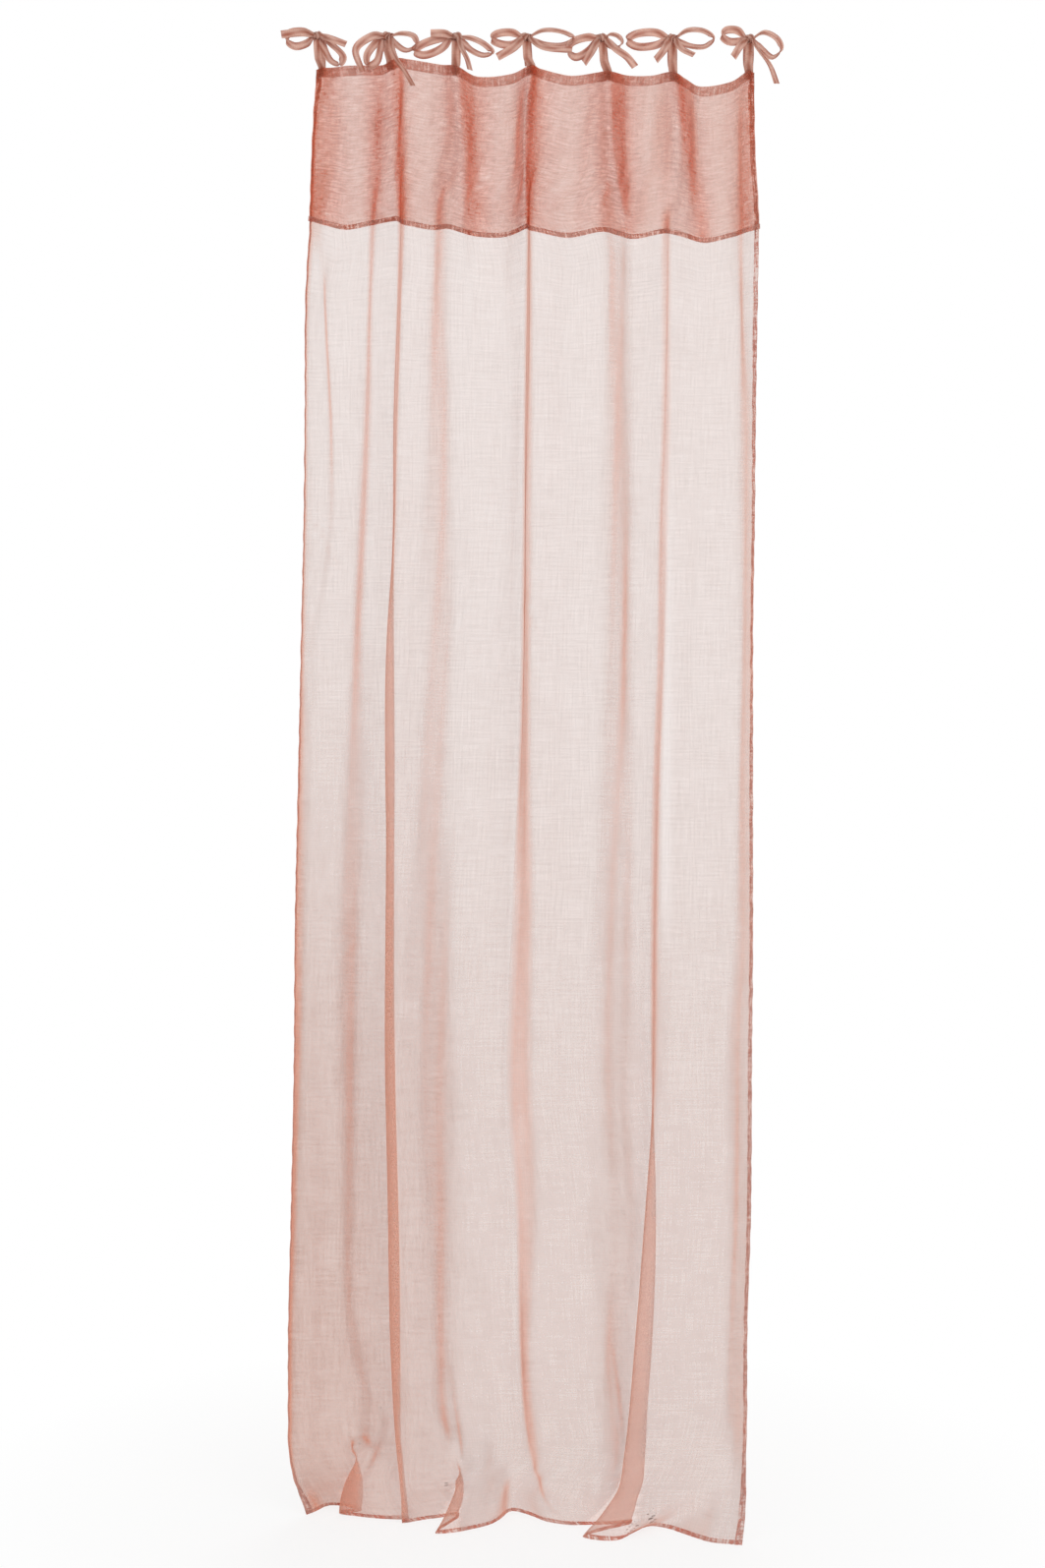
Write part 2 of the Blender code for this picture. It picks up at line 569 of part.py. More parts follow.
def build_tie(number, edge, down, across, outward, material):
    # edge is on the heading edge, down and across run along the cloth, outward points behind it
    bow = BOWS[number]
    knot_out = np.array([0.0, math.cos(KNOT_ANGLE), math.sin(KNOT_ANGLE)])
    knot_down = np.array([0.0, -math.sin(KNOT_ANGLE), math.cos(KNOT_ANGLE)])
    column, row = bow["knot"]
    knot = knot_out * (ROD_RADIUS + ROD_CLEARANCE / 2 + KNOT_DEPTH / 2)
    knot[0] = place_bow(column, column, row, knot[1])[0]
    behind = CLOTH / 2 + SEAM_GAP + TAPE_CLOTH + SEAM_GAP + RIBBON_CLOTH
    base = edge + outward * behind - down * TAB_RISE
    tab = np.array([base - down * RIBBON_CLOTH * 1.5, base + down * TAB_RISE,
                    base + down * (TAB_RISE + TAB_LENGTH)])
    doubled = RIBBON_CLOTH * 2
    solids = [knot_body("knot", knot, knot_out, knot_down)]
    solids.append(rod_loop("loop", base, knot, across))
    tab_breadth = np.full(3, RIBBON_WIDTH * TAB_FIT)
    solids.append(ribbon_solid("tab", tab, np.tile(across, (3, 1)), tab_breadth, doubled, False))
    for ribbon in bow["ribbons"]:
        solids.append(bow_ribbon("ribbon", column, knot, knot_out, knot_down, *ribbon))
    return join_solids("tie_" + str(number + 1), solids, material)


def build():
    clear_scene()
    voile = make_material("voile", (0.80, 0.62, 0.56), 0.9, 0.55)
    flap_cloth = make_material("header_voile", (0.74, 0.50, 0.42), 0.9, 0.7)
    tape_cloth = make_material("heading_tape", (0.62, 0.38, 0.31), 0.9)
    ribbon_cloth = make_material("ribbon", (0.60, 0.34, 0.27), 0.85)
    grid = cloth_grid()
    normals = grid_normals(grid)
    rows, columns = grid.shape[:2]
    thickness = np.full((rows, columns), CLOTH)
    thickness[:, :2] = HEM_CLOTH
    thickness[:, -2:] = HEM_CLOTH
    thickness[[row >= BOTTOM_HEM_ROW for row in ROWS]] = HEM_CLOTH
    flap_end = ROWS.index(int(FLAP_ROW)) + 1
    thickness[:flap_end] = CLOTH
    shell("voile_panel", grid, normals, 0.0, thickness, voile)
    flap_rows = [row for row in ROWS if row <= FLAP_ROW]
    flap_thickness = np.full((len(flap_rows), columns), CLOTH)
    flap_thickness[[row >= FLAP_HEM_TOP_ROW for row in flap_rows]] = HEM_CLOTH
    flap_offset = CLOTH / 2 + SEAM_GAP + HEM_CLOTH / 2
    shell("header_flap", grid[:flap_end], normals[:flap_end], flap_offset, flap_thickness, flap_cloth)
    tape_end = ROWS.index(int(TAPE_ROW)) + 1
    tape_offset = -(CLOTH / 2 + SEAM_GAP + TAPE_CLOTH / 2)
    tape_thickness = np.full((tape_end, columns), TAPE_CLOTH)
    shell("heading_tape", grid[:tape_end], normals[:tape_end], tape_offset, tape_thickness, tape_cloth)
    starts = np.concatenate([[0], np.cumsum(FACETS)])
    for number, line in enumerate(TIE_LINES):
        c = int(starts[line])
        down = grid[1, c] - grid[0, c]
        down /= np.linalg.norm(down)
        outward = -normals[0, c]
        across = np.cross(outward, down)
        build_tie(number, grid[0, c], down, across, outward, ribbon_cloth)


build()
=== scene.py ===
import json
import math
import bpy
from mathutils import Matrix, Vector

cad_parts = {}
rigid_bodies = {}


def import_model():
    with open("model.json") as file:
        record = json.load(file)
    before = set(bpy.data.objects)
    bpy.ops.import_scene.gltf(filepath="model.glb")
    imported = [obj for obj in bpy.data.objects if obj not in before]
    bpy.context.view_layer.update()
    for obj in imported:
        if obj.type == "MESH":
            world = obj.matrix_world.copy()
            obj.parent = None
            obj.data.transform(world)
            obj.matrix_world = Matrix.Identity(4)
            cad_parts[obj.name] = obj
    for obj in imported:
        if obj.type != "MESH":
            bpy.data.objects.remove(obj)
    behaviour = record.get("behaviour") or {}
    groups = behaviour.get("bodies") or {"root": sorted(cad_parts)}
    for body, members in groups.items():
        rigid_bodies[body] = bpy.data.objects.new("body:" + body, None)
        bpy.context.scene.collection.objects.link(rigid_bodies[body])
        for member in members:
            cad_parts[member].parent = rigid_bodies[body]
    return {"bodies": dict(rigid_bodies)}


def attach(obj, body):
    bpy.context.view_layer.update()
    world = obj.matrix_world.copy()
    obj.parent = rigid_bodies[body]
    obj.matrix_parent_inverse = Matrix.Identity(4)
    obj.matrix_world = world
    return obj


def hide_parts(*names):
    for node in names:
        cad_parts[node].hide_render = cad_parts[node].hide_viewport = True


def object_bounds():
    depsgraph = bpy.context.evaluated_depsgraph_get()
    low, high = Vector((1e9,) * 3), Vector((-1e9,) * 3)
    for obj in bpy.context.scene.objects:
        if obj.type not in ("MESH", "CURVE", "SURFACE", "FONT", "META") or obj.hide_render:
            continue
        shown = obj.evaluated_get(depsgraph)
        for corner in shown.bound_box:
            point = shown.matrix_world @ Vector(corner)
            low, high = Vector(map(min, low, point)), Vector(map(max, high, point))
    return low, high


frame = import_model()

from types import SimpleNamespace

import bpy
import numpy as np
from bpy.props import FloatProperty, FloatVectorProperty, IntProperty, PointerProperty
from mathutils import Matrix, Vector

bl_info = {
    "name": "Voile Curtain",
    "version": (1, 0, 0),
    "blender": (4, 5, 0),
    "location": "3D View > Sidebar > Curtain",
    "description": "Makes a voile curtain with a doubled header and ribbon ties, and its photo studio",
    "category": "Object",
}

CAD_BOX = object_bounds()
FLOOR_CLEARANCE = 0.0003
FLOOR_HEIGHT = CAD_BOX[0].z - FLOOR_CLEARANCE
FLOOR_GAP = 0.0012

# Sizes in metres, as the construction has them
DROP = 2.507
FLAT_WIDTH = 1.10
STEM_DROP = 0.0105
FLAP_LENGTH = 0.273
HEADING_DEPTH = -0.008
HUNG_WIDTH = 0.7805
SEAM_GAP = 0.0003
FLAP_STAND = 0.0011
TAPE_STAND = 0.0009
RIBBON_STAND = 0.0020
STRAND_GAP = 0.0014
ROD_RADIUS = 0.021
KNOT_WIDTH = 0.016
KNOT_HEIGHT = 0.013
KNOT_DEPTH = 0.009
KNOT_ANGLE = math.radians(130.0)
KNOT_CHART_DEPTH = -18.0
TAB_LENGTH = 0.014
TAPE_CLOTH = 0.0007
HEM_POINTS = 4

# Height of one row of faces where it isn't the panel's own, and the foot's share of the panel's
HEADER_ROW_STEP = 0.004
NARROW_ROW_STEP = 0.0034
FLAP_HEM_ROW_STEP = 0.0028
FOOT_ROW_SHARE = 0.45

# The flap takes its weave from this far down the pattern, so that it isn't the panel's again
FLAP_PATTERN_START = 3.0

# The folds are laid out on a chart, drawn as the hanging curtain looks from the front.
# Chart columns run along the rod, chart rows run down from it, and depths are in millimetres.
CHART_WIDTH = 466.0
CHART_DROP = 1496.8
CHART_MID = 540.0
CHART_ROD_ROW = 53.2
CHART_LEAN = 0.00729
CHART_EYE_DISTANCE = 1970.3
EYE_COLUMN = 531.5
EYE_ROW = 797.5
HEADING_ROW = 72.0
TAPE_ROW = 82.0
FLAP_HEM_TOP_ROW = 230.0
FLAP_ROW = 235.0
GATHER_ROW = 150.0
FREE_ROW = 420.0
BREAK_ROW = 1440.0
REST_ROW = 1510.0
FLOOR_ROW = 1550.0
FRAME_ROWS = 1595
CHART_STEP = 0.001675
DEPTH_STEP = 0.001
STEP_X = HUNG_WIDTH / CHART_WIDTH
STEP_Z = DROP / CHART_DROP
HEADING_DROP = ROD_RADIUS + STEM_DROP
EYE_DISTANCE = CHART_EYE_DISTANCE * STEP_Z

# Row of the chart, then the column of each fold line, then its depth.
FOLDS = [
    (72,
     [322, 327, 337, 352, 376, 390, 397, 405, 414, 432, 450, 463, 486, 521, 540, 550, 580, 606,
      618, 640, 662, 685, 697, 712, 744, 762, 767],
     [-4, 2, -24, -34, -26, -20, -18, -30, -46, -40, -24, -6, -44, -26, -9, -44, -36, -14,
      2, -42, -28, 2, -20, -44, -24, 4, -4]),
    (150,
     [318, 323, 344, 356, 378, 391, 399, 405, 415, 434, 452, 469, 489, 522, 533, 549, 580, 604,
      622, 641, 662, 688, 699, 715, 744, 757, 768],
     [26, 2, -28, -26, -16, 8, 12, 4, -36, -32, -12, 14, -40, -22, 20, -36, -32, -16,
      12, -42, -26, 16, 2, -40, -24, 8, 24]),
    (235,
     [315, 320, 330, 352, 374, 384, 403, 407, 412, 438, 456, 470, 488, 514, 535, 542, 577, 612,
      630, 643, 672, 682, 697, 716, 742, 757, 772],
     [22, 2, -20, -18, -16, 6, 12, 4, -28, -26, 8, 14, 0, 8, 20, -30, -26, -20,
      4, 16, 20, -12, -18, -24, -20, 6, 24]),
    (300,
     [311, 316, 329, 335, 373, 381, 403, 406, 409, 434, 456, 474, 490, 512, 534, 542, 577, 614,
      630, 643, 672, 682, 697, 716, 748, 757, 771],
     [22, 0, -6, -20, -14, 6, 10, 0, -28, -26, 12, 16, 18, 16, 24, -30, -26, -22,
      6, 22, 24, -12, -18, -22, -22, 6, 22]),
    (420,
     [310, 314, 332, 339, 368, 380, 400, 402, 406, 432, 462, 480, 500, 520, 533, 541, 580, 614,
      630, 643, 672, 681, 697, 716, 750, 760, 769],
     [22, 0, -6, -20, -16, 8, 12, -8, -30, -26, 16, 18, 18, 20, 26, -32, -28, -24,
      4, 24, 26, -10, -16, -20, -20, 4, 22]),
    (520,
     [309, 313, 332, 342, 362, 376, 399, 401, 405, 430, 463, 480, 500, 518, 532, 540, 580, 612,
      628, 645, 670, 679, 697, 716, 750, 760, 768],
     [22, 0, -8, -18, -16, 8, 12, -8, -32, -26, 18, 18, 20, 22, 26, -32, -28, -24,
      2, 26, 26, -8, -14, -18, -20, 4, 22]),
    (660,
     [306, 309, 317, 326, 356, 370, 400, 394, 403, 428, 462, 480, 500, 515, 530, 540, 580, 610,
      630, 645, 669, 677, 697, 716, 750, 760, 766],
     [22, 0, -10, -16, -14, 10, 14, -12, -32, -24, 18, 20, 20, 22, 26, -32, -28, -24,
      2, 26, 26, -6, -12, -18, -20, 2, 20]),
    (800,
     [303, 308, 316, 325, 348, 372, 401, 392, 404, 424, 460, 480, 500, 514, 527, 540, 580, 608,
      630, 646, 664, 672, 695, 716, 748, 758, 766],
     [20, 0, -12, -14, -12, 14, 16, -14, -32, -24, 18, 20, 20, 22, 24, -30, -28, -24,
      4, 26, 26, -4, -12, -16, -20, 2, 18]),
    (940,
     [300, 305, 312, 325, 345, 368, 401, 392, 404, 426, 460, 480, 500, 512, 521, 543, 580, 606,
      630, 646, 661, 670, 694, 716, 746, 758, 766],
     [20, 0, -10, -12, -8, 16, 18, -14, -32, -24, 18, 20, 20, 22, 24, -28, -28, -24,
      4, 24, 24, -2, -12, -16, -18, 2, 18]),
    (1080,
     [299, 304, 312, 328, 343, 366, 402, 391, 404, 428, 462, 480, 498, 508, 515, 543, 580, 606,
      630, 648, 662, 667, 692, 716, 738, 752, 765],
     [20, 0, -10, -6, -4, 18, 20, -14, -32, -24, 18, 20, 20, 20, 22, -28, -28, -22,
      4, 22, 24, 0, -12, -16, -18, 4, 22]),
    (1230,
     [296, 301, 311, 330, 345, 365, 405, 394, 407, 432, 464, 480, 500, 512, 524, 546, 580, 604,
      630, 648, 667, 657, 690, 716, 740, 752, 764],
     [20, 0, -8, -4, -2, 16, 20, -12, -30, -24, 14, 18, 18, 20, 20, -20, -26, -20,
      4, 20, 26, -8, -14, -18, -18, 4, 22]),
    (1380,
     [293, 298, 310, 330, 354, 370, 407, 398, 411, 436, 462, 480, 500, 516, 528, 540, 580, 612,
      622, 634, 662, 645, 684, 712, 738, 750, 760],
     [18, -2, -8, -4, 2, 18, 22, -10, -30, -24, 8, 14, 18, 20, 20, -14, -22, -18,
      0, 18, 24, -12, -20, -22, -20, 2, 20]),
    (1440,
     [293, 298, 310, 340, 362, 386, 407, 401, 414, 440, 466, 484, 504, 520, 532, 545, 584, 612,
      626, 636, 658, 640, 682, 712, 738, 750, 760],
     [14, -4, -10, -4, 4, 20, 22, -8, -30, -26, 8, 14, 18, 20, 20, -12, -22, -18,
      2, 20, 26, -14, -26, -30, -26, -4, 14]),
    (1480,
     [294, 299, 312, 362, 364, 384, 409, 404, 417, 460, 472, 488, 506, 522, 539, 551, 586, 610,
      624, 636, 656, 635, 678, 712, 738, 750, 759],
     [18, 2, 0, 16, -4, 14, 20, -12, -28, -6, 0, 4, 20, 28, 22, -10, -22, -28,
      -10, 14, 26, -30, -34, -38, -38, -24, -8]),
    (1510,
     [299, 305, 318, 369, 351, 380, 412, 406, 420, 472, 466, 488, 508, 522, 545, 556, 586, 606,
      620, 634, 653, 628, 668, 708, 736, 749, 759],
     [26, 14, 26, 34, 10, 10, 18, -14, -16, 16, -20, -14, 14, 38, 20, -8, -20, -36,
      -20, 6, 20, -44, -40, -40, -50, -46, -36]),
    (1530,
     [305, 311, 325, 369, 347, 382, 414, 408, 424, 469, 456, 480, 506, 521, 550, 566, 590, 606,
      620, 634, 647, 612, 646, 695, 730, 746, 758],
     [30, 28, 54, 44, 26, 12, 14, -12, 0, 24, -34, -28, 4, 50, 14, -4, -14, -20,
      -12, 2, 12, -50, -56, -28, -62, -66, -62]),
    (1550,
     [312, 320, 335, 367, 346, 384, 416, 409, 436, 466, 443, 466, 501, 521, 556, 575, 592, 606,
      618, 630, 642, 593, 627, 662, 722, 744, 755],
     [33, 46, 77, 52, 40, 17, 12, -2, 16, 32, -46, -38, -2, 56, 10, -3, -5, -4,
      -2, 0, 4, -56, -71, -6, -74, -84, -86]),
]

FOLD_ROWS, FOLD_COLUMNS, FOLD_DEPTHS = zip(*FOLDS)

# Chart rows that the heading edge and the flap's hem follow, fold line by fold line
HEADING_EDGE = [71, 69, 69, 67, 66.5, 66, 62, 59, 60, 63, 66, 66.5, 78, 75, 66, 70, 77, 74,
                72, 77, 77, 73, 80, 88, 83, 72, 74]
FLAP_EDGE = [225, 226, 229, 234, 230, 228, 225, 226, 229, 234, 233, 237, 241, 241, 233, 235, 242,
             236, 240, 243, 238, 238, 242, 247, 242, 237, 233]
FACETS = [1, 1, 2, 2, 2, 2, 2, 2, 2, 3, 2, 2, 2, 2, 2, 3, 3, 2, 2, 3, 2, 2, 2, 3, 2, 1]
BOTTOM_HEM_ROW = 1546.0
TIE_LINES = [1, 6, 11, 14, 18, 21, 25]
LAPPED_LINES = [3, 6, 9, 20]

# The ribbons of each bow: a loop or a tail, how far its width turns edge-on in degrees at the
# start and at the end, and chart column, chart row and depth of each point on from its knot.
BOWS = [
    {"knot": (323, 38), "ribbons": [
        ("loop", 38, 38, [(308, 32, -26), (294, 34, -30), (291, 41, -33), (300, 47, -32),
                          (312, 44, -27)]),
        ("tail", 10, 40, [(308, 33, -41), (286, 35, -43)]),
        ("tail", 10, 20, [(338, 40, -42), (352, 45, -44)]),
        ("loop", 28, 28, [(337, 45, -29), (349, 58, -40), (345, 65, -43), (337, 62, -42),
                          (330, 50, -32)]),
    ]},
    {"knot": (394, 40), "ribbons": [
        ("loop", 32, 32, [(383, 43, -29), (373, 57, -36), (375, 67, -38), (383, 63, -38),
                          (387, 50, -32)]),
        ("loop", 32, 32, [(408, 34, -26), (421, 37, -31), (423, 46, -34), (414, 51, -34),
                          (404, 46, -27)]),
        ("tail", 10, 40, [(378, 37, -42), (362, 50, -47), (368, 72, -47)]),
        ("tail", 45, 50, [(401, 56, -44), (411, 72, -54), (420, 87, -56)]),
    ]},
    {"knot": (464, 39), "ribbons": [
        ("loop", 28, 28, [(448, 39, -28), (430, 45, -34), (421, 52, -36), (430, 56, -36),
                          (448, 50, -31)]),
        ("tail", 10, 20, [(451, 34, -42), (438, 34, -44)]),
        ("loop", 28, 28, [(480, 39, -28), (494, 46, -34), (500, 53, -36), (492, 56, -36),
                          (478, 50, -31)]),
        ("tail", 45, 50, [(470, 50, -42), (475, 60, -52), (478, 71, -54)]),
    ]},
    {"knot": (535, 39), "ribbons": [
        ("loop", 38, 38, [(520, 33, -26), (504, 35, -30), (500, 40, -33), (510, 45, -32),
                          (522, 45, -27)]),
        ("loop", 38, 38, [(552, 31, -25), (574, 33, -30), (583, 39, -33), (573, 45, -32),
                          (552, 44, -27)]),
        ("tail", 20, 20, [(523, 48, -44), (506, 58, -48)]),
        ("tail", 30, 20, [(553, 48, -44), (582, 51, -48)]),
    ]},
    {"knot": (612, 42), "ribbons": [
        ("loop", 32, 32, [(597, 38, -27), (582, 43, -32), (577, 51, -36), (585, 58, -36),
                          (598, 52, -30)]),
        ("loop", 38, 38, [(621, 35, -25), (629, 37, -28), (632, 43, -30), (628, 48, -30),
                          (621, 47, -26)]),
        ("tail", 10, 10, [(627, 50, -44), (638, 58, -52), (646, 68, -54)]),
        ("tail", 40, 40, [(602, 52, -44), (594, 64, -52)]),
    ]},
    {"knot": (684, 39), "ribbons": [
        ("loop", 32, 32, [(666, 33, -27), (646, 35, -32), (638, 41, -34), (647, 47, -34),
                          (667, 46, -29)]),
        ("loop", 32, 32, [(699, 31, -26), (717, 32, -31), (725, 39, -34), (717, 47, -34),
                          (700, 46, -28)]),
        ("tail", 20, 30, [(694, 50, -44), (706, 56, -48)]),
        ("tail", 25, 40, [(675, 51, -45), (667, 61, -51)]),
    ]},
    {"knot": (762, 37), "ribbons": [
        ("loop", 38, 38, [(750, 31, -25), (738, 31, -29), (734, 36, -32), (741, 42, -31),
                          (752, 42, -26)]),
        ("loop", 28, 28, [(777, 33, -27), (791, 40, -34), (794, 50, -38), (786, 58, -38),
                          (775, 50, -31)]),
        ("tail", 60, 35, [(771, 50, -43), (783, 66, -54), (790, 85, -58)]),
        ("tail", 30, 30, [(752, 48, -44), (746, 58, -50)]),
    ]},
]


def srgb(code):
    # a hex colour as linear red, green and blue
    parts = [int(code[i:i + 2], 16) / 255.0 for i in (1, 3, 5)]
    return tuple(p / 12.92 if p <= 0.04045 else ((p + 0.055) / 1.055) ** 2.4 for p in parts)


def colour_setting(name, description, code):
    return FloatVectorProperty(name=name, description=description, default=srgb(code),
                               subtype="COLOR", min=0.0, max=1.0)


def length_setting(name, description, default, least, most):
    return FloatProperty(name=name, description=description, default=default, min=least, max=most,
                         precision=5, unit="LENGTH")


def power_setting(name, description, default):
    return FloatProperty(name=name, description=description, default=default, min=0.0, max=500.0,
                         unit="POWER")


class CurtainSizes(bpy.types.PropertyGroup):
    hem_width: length_setting(
        "Side hem", "Width of the folded hem down each side", 0.011, 0.003, 0.03)
    cloth: length_setting(
        "Cloth", "Thickness that one layer of voile is drawn with", 0.0005, 0.0002, 0.002)
    hem_cloth: length_setting(
        "Hem fold", "Thickness of the turned-over cloth in a hem", 0.0006, 0.0002, 0.002)
    ribbon_width: length_setting("Ribbon", "Width of the tie ribbons", 0.013, 0.005, 0.04)
    ribbon_cloth: length_setting("Ribbon cloth", "Thickness of the tie ribbons", 0.0007, 0.0002, 0.002)
    stitch_pitch: length_setting(
        "Stitch pitch", "Distance from one stitch to the next", 0.0032, 0.001, 0.01)
    stitch_length: length_setting(
        "Stitch length", "Length of thread that shows in one stitch", 0.0022, 0.0005, 0.01)
    thread: length_setting("Thread", "Radius of the sewing thread", 0.00022, 0.0001, 0.001)
    fineness: IntProperty(
        name="Fineness", description="Columns of faces for each facet of the chart",
        default=3, min=1, max=6)
    row_step: length_setting(
        "Row step", "Height of one row of faces of the panel", 0.0092, 0.004, 0.05)


class CurtainColours(bpy.types.PropertyGroup):
    plain_voile: colour_setting(
        "Plain voile", "Colour of the panel's yarn where the cloth hangs plain", "#dbcbc5")
    # painted fold shade: the redder colour that the panel shows in its folds, where light passes
    # through more than once
    fold_shade_voile: colour_setting(
        "Folded voile", "Colour of the panel's yarn where the cloth folds", "#f3c4b0")
    plain_header: colour_setting(
        "Plain header", "Colour of the header's yarn where it hangs plain", "#e09d8a")
    # painted fold shade: the redder colour that the header shows in its folds
    fold_shade_header: colour_setting(
        "Folded header", "Colour of the header's yarn in its folds", "#ea8e6c")
    hem: colour_setting(
        "Hem", "Colour of the turned-over cloth of the panel's hems", "#eda693")
    header_hem: colour_setting(
        "Header hem", "Colour of the turned-over cloth at the header", "#deae9f")
    tape: colour_setting("Heading tape", "Colour of the tape along the top edge", "#f4c9ba")
    ribbon: colour_setting("Ribbon", "Colour of the ribbons where they lie flat", "#f0cdbd")
    # painted crease shade: the ribbons' darker colour along their folds
    ribbon_crease_shade: colour_setting("Ribbon crease", "Colour of the ribbons along their folds", "#c5826c")
    thread: colour_setting("Thread", "Colour of the sewing thread", "#c07f6c")
    stage: colour_setting("Floor", "Colour of the paper floor", "#f8f7f6")


class StudioSettings(bpy.types.PropertyGroup):
    sky: FloatProperty(
        name="Surround", description="Brightness of the pale surround on the cloth",
        default=0.55, min=0.0, max=2.0)
    key: power_setting("Key lamp", "Power of the soft lamp in front, on the right", 48.0)
    fill: power_setting("Fill lamp", "Power of the soft lamp in front, on the left", 22.0)
    back: power_setting("Back lamp", "Power of the soft lamp behind the cloth", 40.0)


# Shapes of the hanging cloth: the steps between fold lines in which its width is measured, and
# how much shallower or deeper than on the chart its folds may be, found by halving the range,
# and the least gap between two points of a curve
MEASURE_STEPS = 8
LEAST_FULLNESS = 0.6
MOST_FULLNESS = 2.2
HALVINGS = 18
LEAST_POINT_GAP = 1e-5


def hermite(keys, values, at):
    # smooth curves through the values of each fold line, read at many rows at once
    keys = np.asarray(keys, float)
    values = np.asarray(values, float)
    at = np.atleast_1d(np.asarray(at, float))
    slopes = np.zeros_like(values)
    steps = np.diff(keys)[:, None]
    rises = np.diff(values, axis=0) / steps
    slopes[1:-1] = (rises[:-1] * steps[1:] + rises[1:] * steps[:-1]) / (steps[:-1] + steps[1:])
    slopes[1:-1][rises[:-1] * rises[1:] <= 0.0] = 0.0
    slopes[0] = rises[0]
    slopes[-1] = rises[-1]
    k = np.clip(np.searchsorted(keys, at) - 1, 0, len(keys) - 2)
    span = (keys[k + 1] - keys[k])[:, None]
    t = (at[:, None] - keys[k][:, None]) / span
    low = (2 * t ** 3 - 3 * t ** 2 + 1) * values[k] + (t ** 3 - 2 * t ** 2 + t) * span * slopes[k]
    high = (-2 * t ** 3 + 3 * t ** 2) * values[k + 1] + (t ** 3 - t ** 2) * span * slopes[k + 1]
    return low + high


def fall(row):
    # how far below the rod's axis a chart row hangs
    rows = [CHART_ROD_ROW, HEADING_ROW, FLAP_ROW, FLOOR_ROW]
    falls = [0.0, HEADING_DROP, HEADING_DROP + FLAP_LENGTH, DROP]
    return np.interp(row, rows, falls)


def eye_point():
    # where the chart is seen from, across and up
    eye_x = (EYE_COLUMN - CHART_MID + (EYE_ROW - CHART_ROD_ROW) * CHART_LEAN) * STEP_X
    return eye_x, -float(fall(EYE_ROW))


def nearer(flat_x, flat_z, depth):
    # what is drawn at one place looks larger in front and smaller behind
    eye_x, eye_z = eye_point()
    scale = 1.0 + depth / EYE_DISTANCE
    return np.stack([eye_x + (flat_x - eye_x) * scale, depth,
                     eye_z + (flat_z - eye_z) * scale], axis=-1)


def place(columns, rows, shifts, depths):
    # chart columns, chart rows, rows that they are shifted down by, and depths, to the room
    lean_x = (rows + shifts - CHART_ROD_ROW) * CHART_LEAN
    lean_z = (columns - CHART_MID) * CHART_LEAN
    flat_x = (columns - CHART_MID + lean_x) * STEP_X
    flat_z = -fall(rows) - (shifts - lean_z) * CHART_STEP
    return nearer(flat_x, flat_z, depths)


def place_bow(middle, column, row, depth):
    # the same for a bow, which keeps its size either side of its knot's column
    lean_x = (row - CHART_ROD_ROW) * CHART_LEAN
    lean_z = (column - CHART_MID) * CHART_LEAN
    flat_x = (middle - CHART_MID) * STEP_X + (column - middle + lean_x) * CHART_STEP
    flat_z = -(row - CHART_ROD_ROW - lean_z) * CHART_STEP
    return nearer(flat_x, flat_z, depth)


def spline(points, spots):
    # rounded curves through each row of points, read at spots counted in points
    points = np.asarray(points, float)
    spots = np.asarray(spots, float)
    first = 2 * points[:, :1] - points[:, 1:2]
    last = 2 * points[:, -1:] - points[:, -2:-1]
    padded = np.concatenate([first, points, last], axis=1)
    gaps = np.sqrt(np.maximum(np.linalg.norm(np.diff(padded, axis=1), axis=2), LEAST_POINT_GAP))
    knots = np.concatenate([np.zeros((len(points), 1)), np.cumsum(gaps, axis=1)], axis=1)
    i = np.minimum(spots.astype(int), points.shape[1] - 2)
    f = spots - i
    p0, p1, p2, p3 = (padded[:, i + k] for k in range(4))
    t0, t1, t2, t3 = (knots[:, i + k][:, :, None] for k in range(4))
    t = t1 + (t2 - t1) * f[None, :, None]
    a1 = (t1 - t) / (t1 - t0) * p0 + (t - t0) / (t1 - t0) * p1
    a2 = (t2 - t) / (t2 - t1) * p1 + (t - t1) / (t2 - t1) * p2
    a3 = (t3 - t) / (t3 - t2) * p2 + (t - t2) / (t3 - t2) * p3
    b1 = (t2 - t) / (t2 - t0) * a1 + (t - t0) / (t2 - t0) * a2
    b2 = (t3 - t) / (t3 - t1) * a2 + (t - t1) / (t3 - t1) * a3
    return (t2 - t) / (t2 - t1) * b1 + (t - t1) / (t2 - t1) * b2


def blend(low, high, value):
    # 0 below low, 1 above high, and a smooth rise between them
    t = np.clip((np.asarray(value, float) - low) / (high - low), 0.0, 1.0)
    return t * t * (3 - 2 * t)


def chart_columns(rows, spots):
    # the chart column of each point of the cloth
    columns = hermite(FOLD_ROWS, FOLD_COLUMNS, rows)
    lines = np.arange(columns.shape[1])
    return np.array([np.interp(spots, lines, line) for line in columns])


def fold_lines(rows, fullness):
    # the points of each row of the cloth on its fold lines
    rows = np.asarray(rows, float)
    columns = hermite(FOLD_ROWS, FOLD_COLUMNS, rows)
    depths = hermite(FOLD_ROWS, FOLD_DEPTHS, rows) * DEPTH_STEP
    anchor = HEADING_DEPTH * (1 - blend(HEADING_ROW, FLAP_ROW, rows))[:, None]
    depths = anchor + (depths - anchor) * fullness[:, None]
    none = np.zeros(len(HEADING_EDGE))
    shifts = [np.array(HEADING_EDGE) - HEADING_ROW, np.array(FLAP_EDGE) - FLAP_ROW, none, none]
    moved = hermite([HEADING_ROW, FLAP_ROW, FREE_ROW, FLOOR_ROW], shifts, rows)
    points = place(columns, rows[:, None], moved, depths)
    settled = blend(BREAK_ROW, FLOOR_ROW, rows)[:, None]
    points[:, :, 2] = points[:, :, 2] * (1 - settled) - fall(rows)[:, None] * settled
    return points


